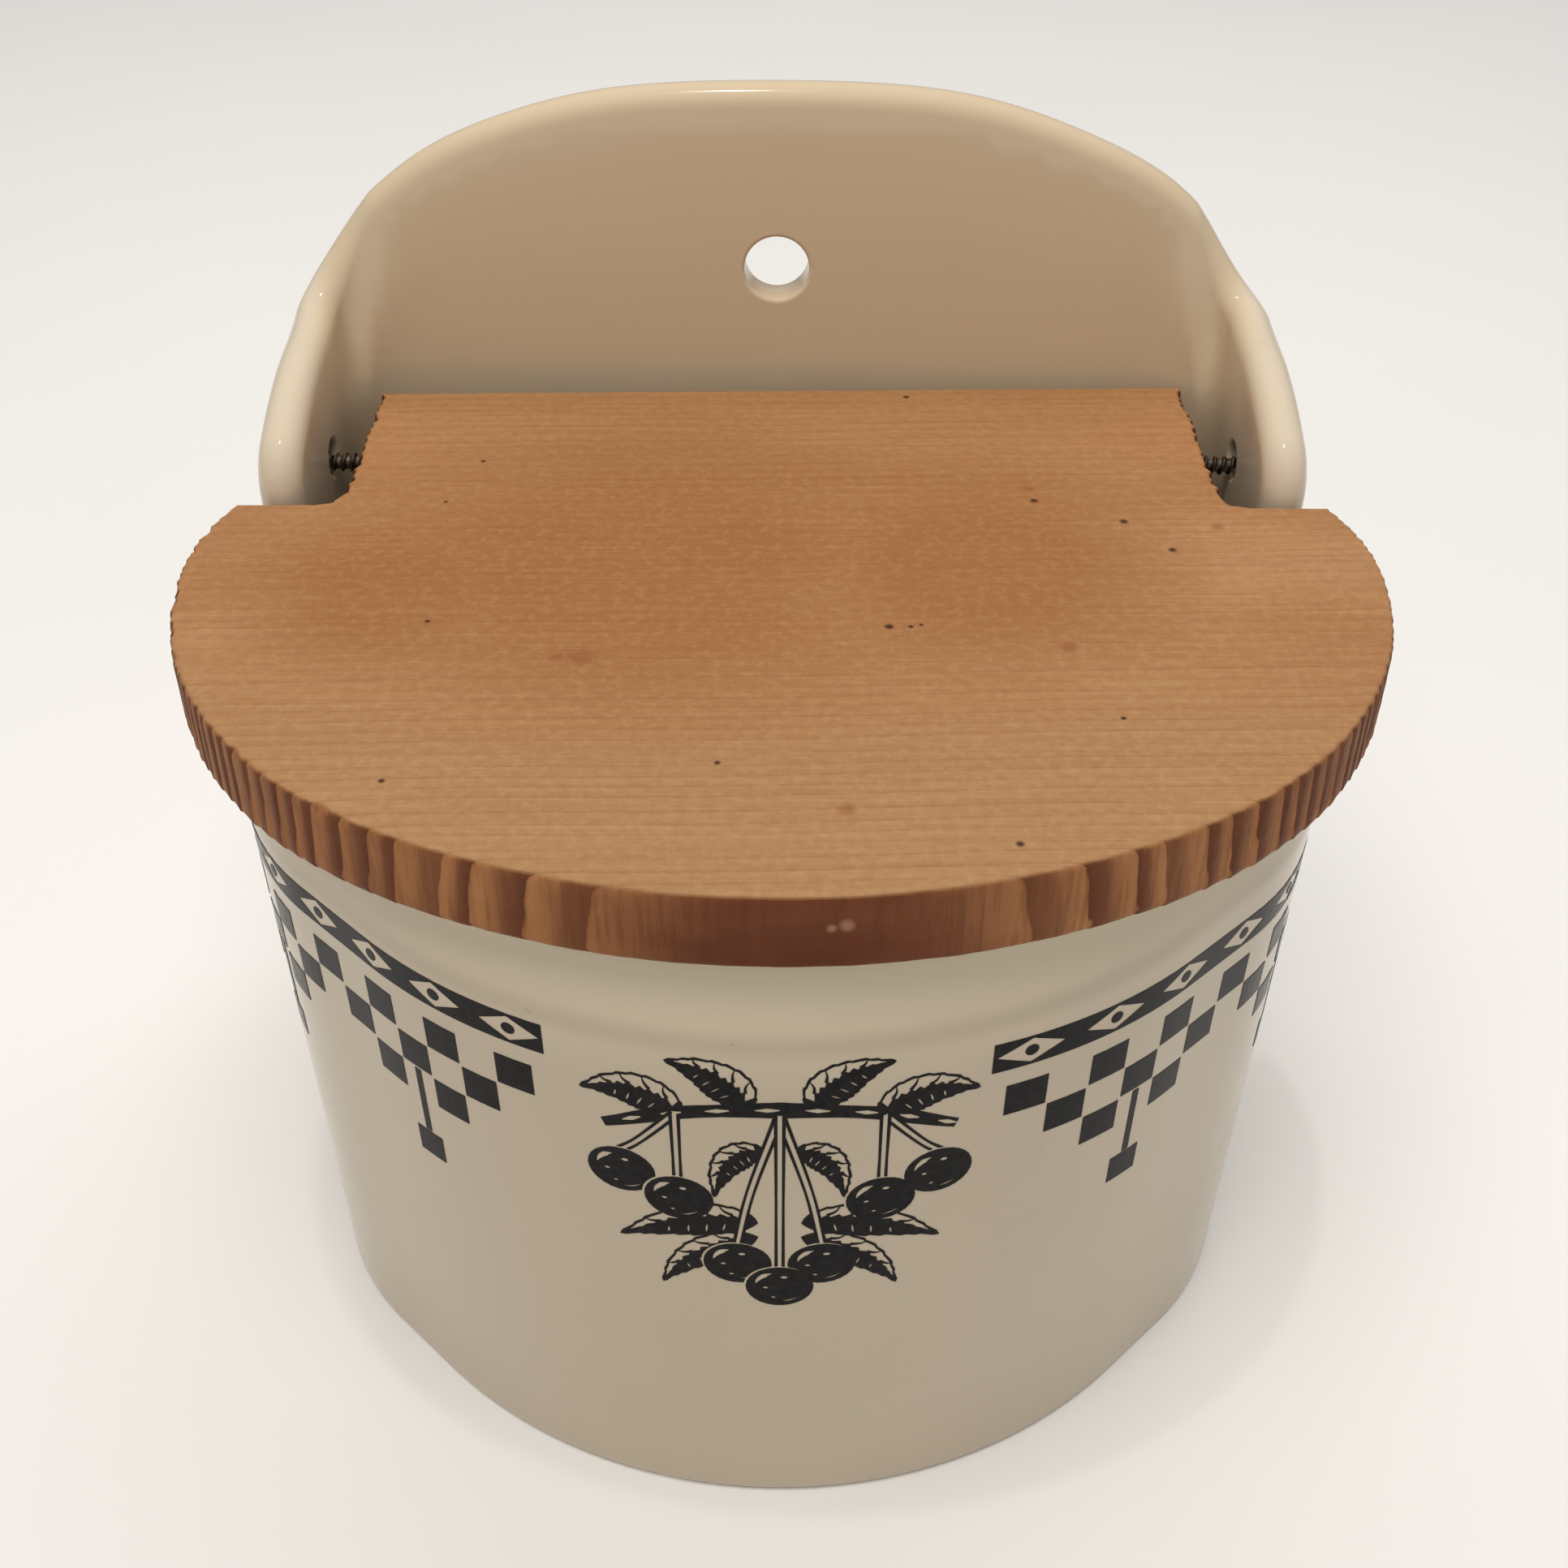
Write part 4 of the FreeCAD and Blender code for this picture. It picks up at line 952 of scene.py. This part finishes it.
    # pin holes, reddish knots and a pale chip on the front edge
    holes = [((hx * MM, hy * MM, surface), size) for hx, hy, size in (
        (15, -14.5, 0.85), (18, -14.5, 0.5), (19.5, -14, 0.4), (39, 22, 0.8), (52, 15.5, 0.85),
        (58, 7, 0.8), (28.5, -62.5, 0.7), (-48, 34.5, 0.5), (-52, 21, 0.4), (-49.5, -50.5, 0.55),
        (-8, -46.5, 0.55), (44.5, -36.5, 0.5), (-49.5, -13.5, 0.5), (21, 58.5, 0.7), (-34, 60.5, 0.4))]
    knots = [((kx * MM, ky * MM, surface), size) for kx, ky, size in (
        (-27.5, -22.5, 2.6), (39.5, -19.5, 1.8), (8, -56, 1.6), (38.5, 26, 1.3), (-30.5, -22.5, 1.2),
        (66, 14, 1.4))]
    colour = wood.mix(wood.math("MULTIPLY", wood.spots(place, knots), 0.5), colour, (0.235, 0.070, 0.028))
    # painted shade: the pin holes are near-black spots, with only a small dent of bump
    dark = wood.spots(place, holes)
    colour = wood.mix(wood.math("MULTIPLY", dark, 0.9), colour, (0.030, 0.012, 0.007))
    chip = wood.spots(place, [((0.0078, -0.0724, 0.1262), 1.2), ((0.0060, -0.0724, 0.1258), 0.8)])
    colour = wood.mix(wood.math("MULTIPLY", chip, 0.45), colour, (0.50, 0.30, 0.18))
    wood.set("Base Color", colour)
    wood.set("Roughness", wood.steps(fibre, [(0.3, 0.72), (0.7, 0.52)]))
    height = wood.math("ADD", wood.math("MULTIPLY", fibre, 0.5), wood.math("MULTIPLY", late, 0.5))
    height = wood.math("ADD", height, wood.math("MULTIPLY", pores, wood.math("MULTIPLY", edge, 0.8)))
    height = wood.math("SUBTRACT", height, wood.math("MULTIPLY", dark, 2.0))
    wood.bump(height, 0.35, 0.0004)
    return wood


# ---------------------------------------------------------------- screws

def steel_material():
    steel = Shader("dull_steel", Metallic=1.0)
    place = steel.place()
    tarnish = steel.noise(place, 900, 3, 0.6)
    colour = steel.steps(tarnish, [(0.35, (0.16, 0.135, 0.105)), (0.6, (0.36, 0.335, 0.30))])
    steel.set("Base Color", colour)
    steel.set("Roughness", steel.steps(tarnish, [(0.3, 0.5), (0.7, 0.28)]))
    steel.bump(steel.noise(place, 2500, 2), 0.25, 0.0002)
    return steel


def build_screw(node, side, steel):
    """Pan-head screw with a helical thread, on the axis of its CAD node."""
    head, end, point = 2.3, 29.9, 4.5
    low, high = (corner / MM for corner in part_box(node))
    centre = (low + high) / 2
    under = side * (high.x if side > 0 else low.x) - head
    core, crest, pitch, around = 1.12, 1.68, 1.5, 40
    profile = [(head, 0.02), (head, 2.4), (2.22, 2.85), (2.0, 3.2), (1.6, 3.42), (1.1, 3.5), (0.05, 3.5),
               (0.0, 3.4), (0.0, 1.5)]
    rows = [np.column_stack([np.full(around, h), np.full(around, r)]) for h, r in profile]
    turns = np.arange(around) / around
    for depth in np.arange(0.15, end, 0.125):
        along = (depth / pitch - side * turns) % 1.0
        tooth = np.clip((1 - np.abs(2 * along - 1)) * 1.7 - 0.7, 0, 1)
        taper = min(1.0, (end + 0.05 - depth) / point)
        rows.append(np.column_stack([np.full(around, -depth), taper * (core + (crest - core) * tooth)]))
    points = []
    for row in rows:
        for (along, radius), turn in zip(row, turns * 2 * math.pi):
            points.append((side * (under + along), centre.y + radius * math.cos(turn),
                           centre.z + radius * math.sin(turn)))
    faces = lattice(len(rows), around)
    faces.append(list(range(around)))
    faces.append([(len(rows) - 1) * around + i for i in range(around)])
    screw = make_object(node + "_threaded", points, faces, steel, "lid")

    cutters = []
    top = side * (under + head)
    for wide, tall in ((3.9, 0.85), (0.85, 3.9)):
        corners = [(top + dx * side, centre.y + dy * wide / 2 * k, centre.z + dz * tall / 2 * k)
                   for dx, k in ((0.3, 1.0), (-1.2, 0.55)) for dy, dz in ((-1, -1), (1, -1), (1, 1), (-1, 1))]
        cutters.append(plain_cutter("recess", corners, [[0, 1, 2, 3], [7, 6, 5, 4], [0, 4, 5, 1],
                                                        [1, 5, 6, 2], [2, 6, 7, 3], [3, 7, 4, 0]]))
    cut(screw, cutters)
    for face in screw.data.polygons:
        face.use_smooth = abs(face.normal.x) < 0.97
    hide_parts(node)


# ---------------------------------------------------------------- floor

def build_floor():
    floor = Shader("pale_floor", Roughness=0.85)
    cloud = floor.noise(floor.place(), 6, 3)
    floor.set("Base Color", floor.steps(cloud, [(0.3, (0.865, 0.87, 0.875)), (0.7, (0.885, 0.89, 0.895))]))
    mesh = bpy.data.meshes.new("floor")
    far, level = 4, -0.0002
    corners = [(-far, -far, level), (far, -far, level), (far, far, level), (-far, far, level)]
    mesh.from_pydata(corners, [], [[0, 1, 2, 3]])
    mesh.materials.append(floor.material)
    piece = bpy.data.objects.new("floor", mesh)
    bpy.context.collection.objects.link(piece)


build_floor()
build_pot(glaze_material().material, bisque_material().material)
build_prints(ink_material().material)
build_lid(wood_material().material)
steel_shader = steel_material()
build_screw("left_pivot_screw", -1, steel_shader.material)
build_screw("right_pivot_screw", 1, steel_shader.material)
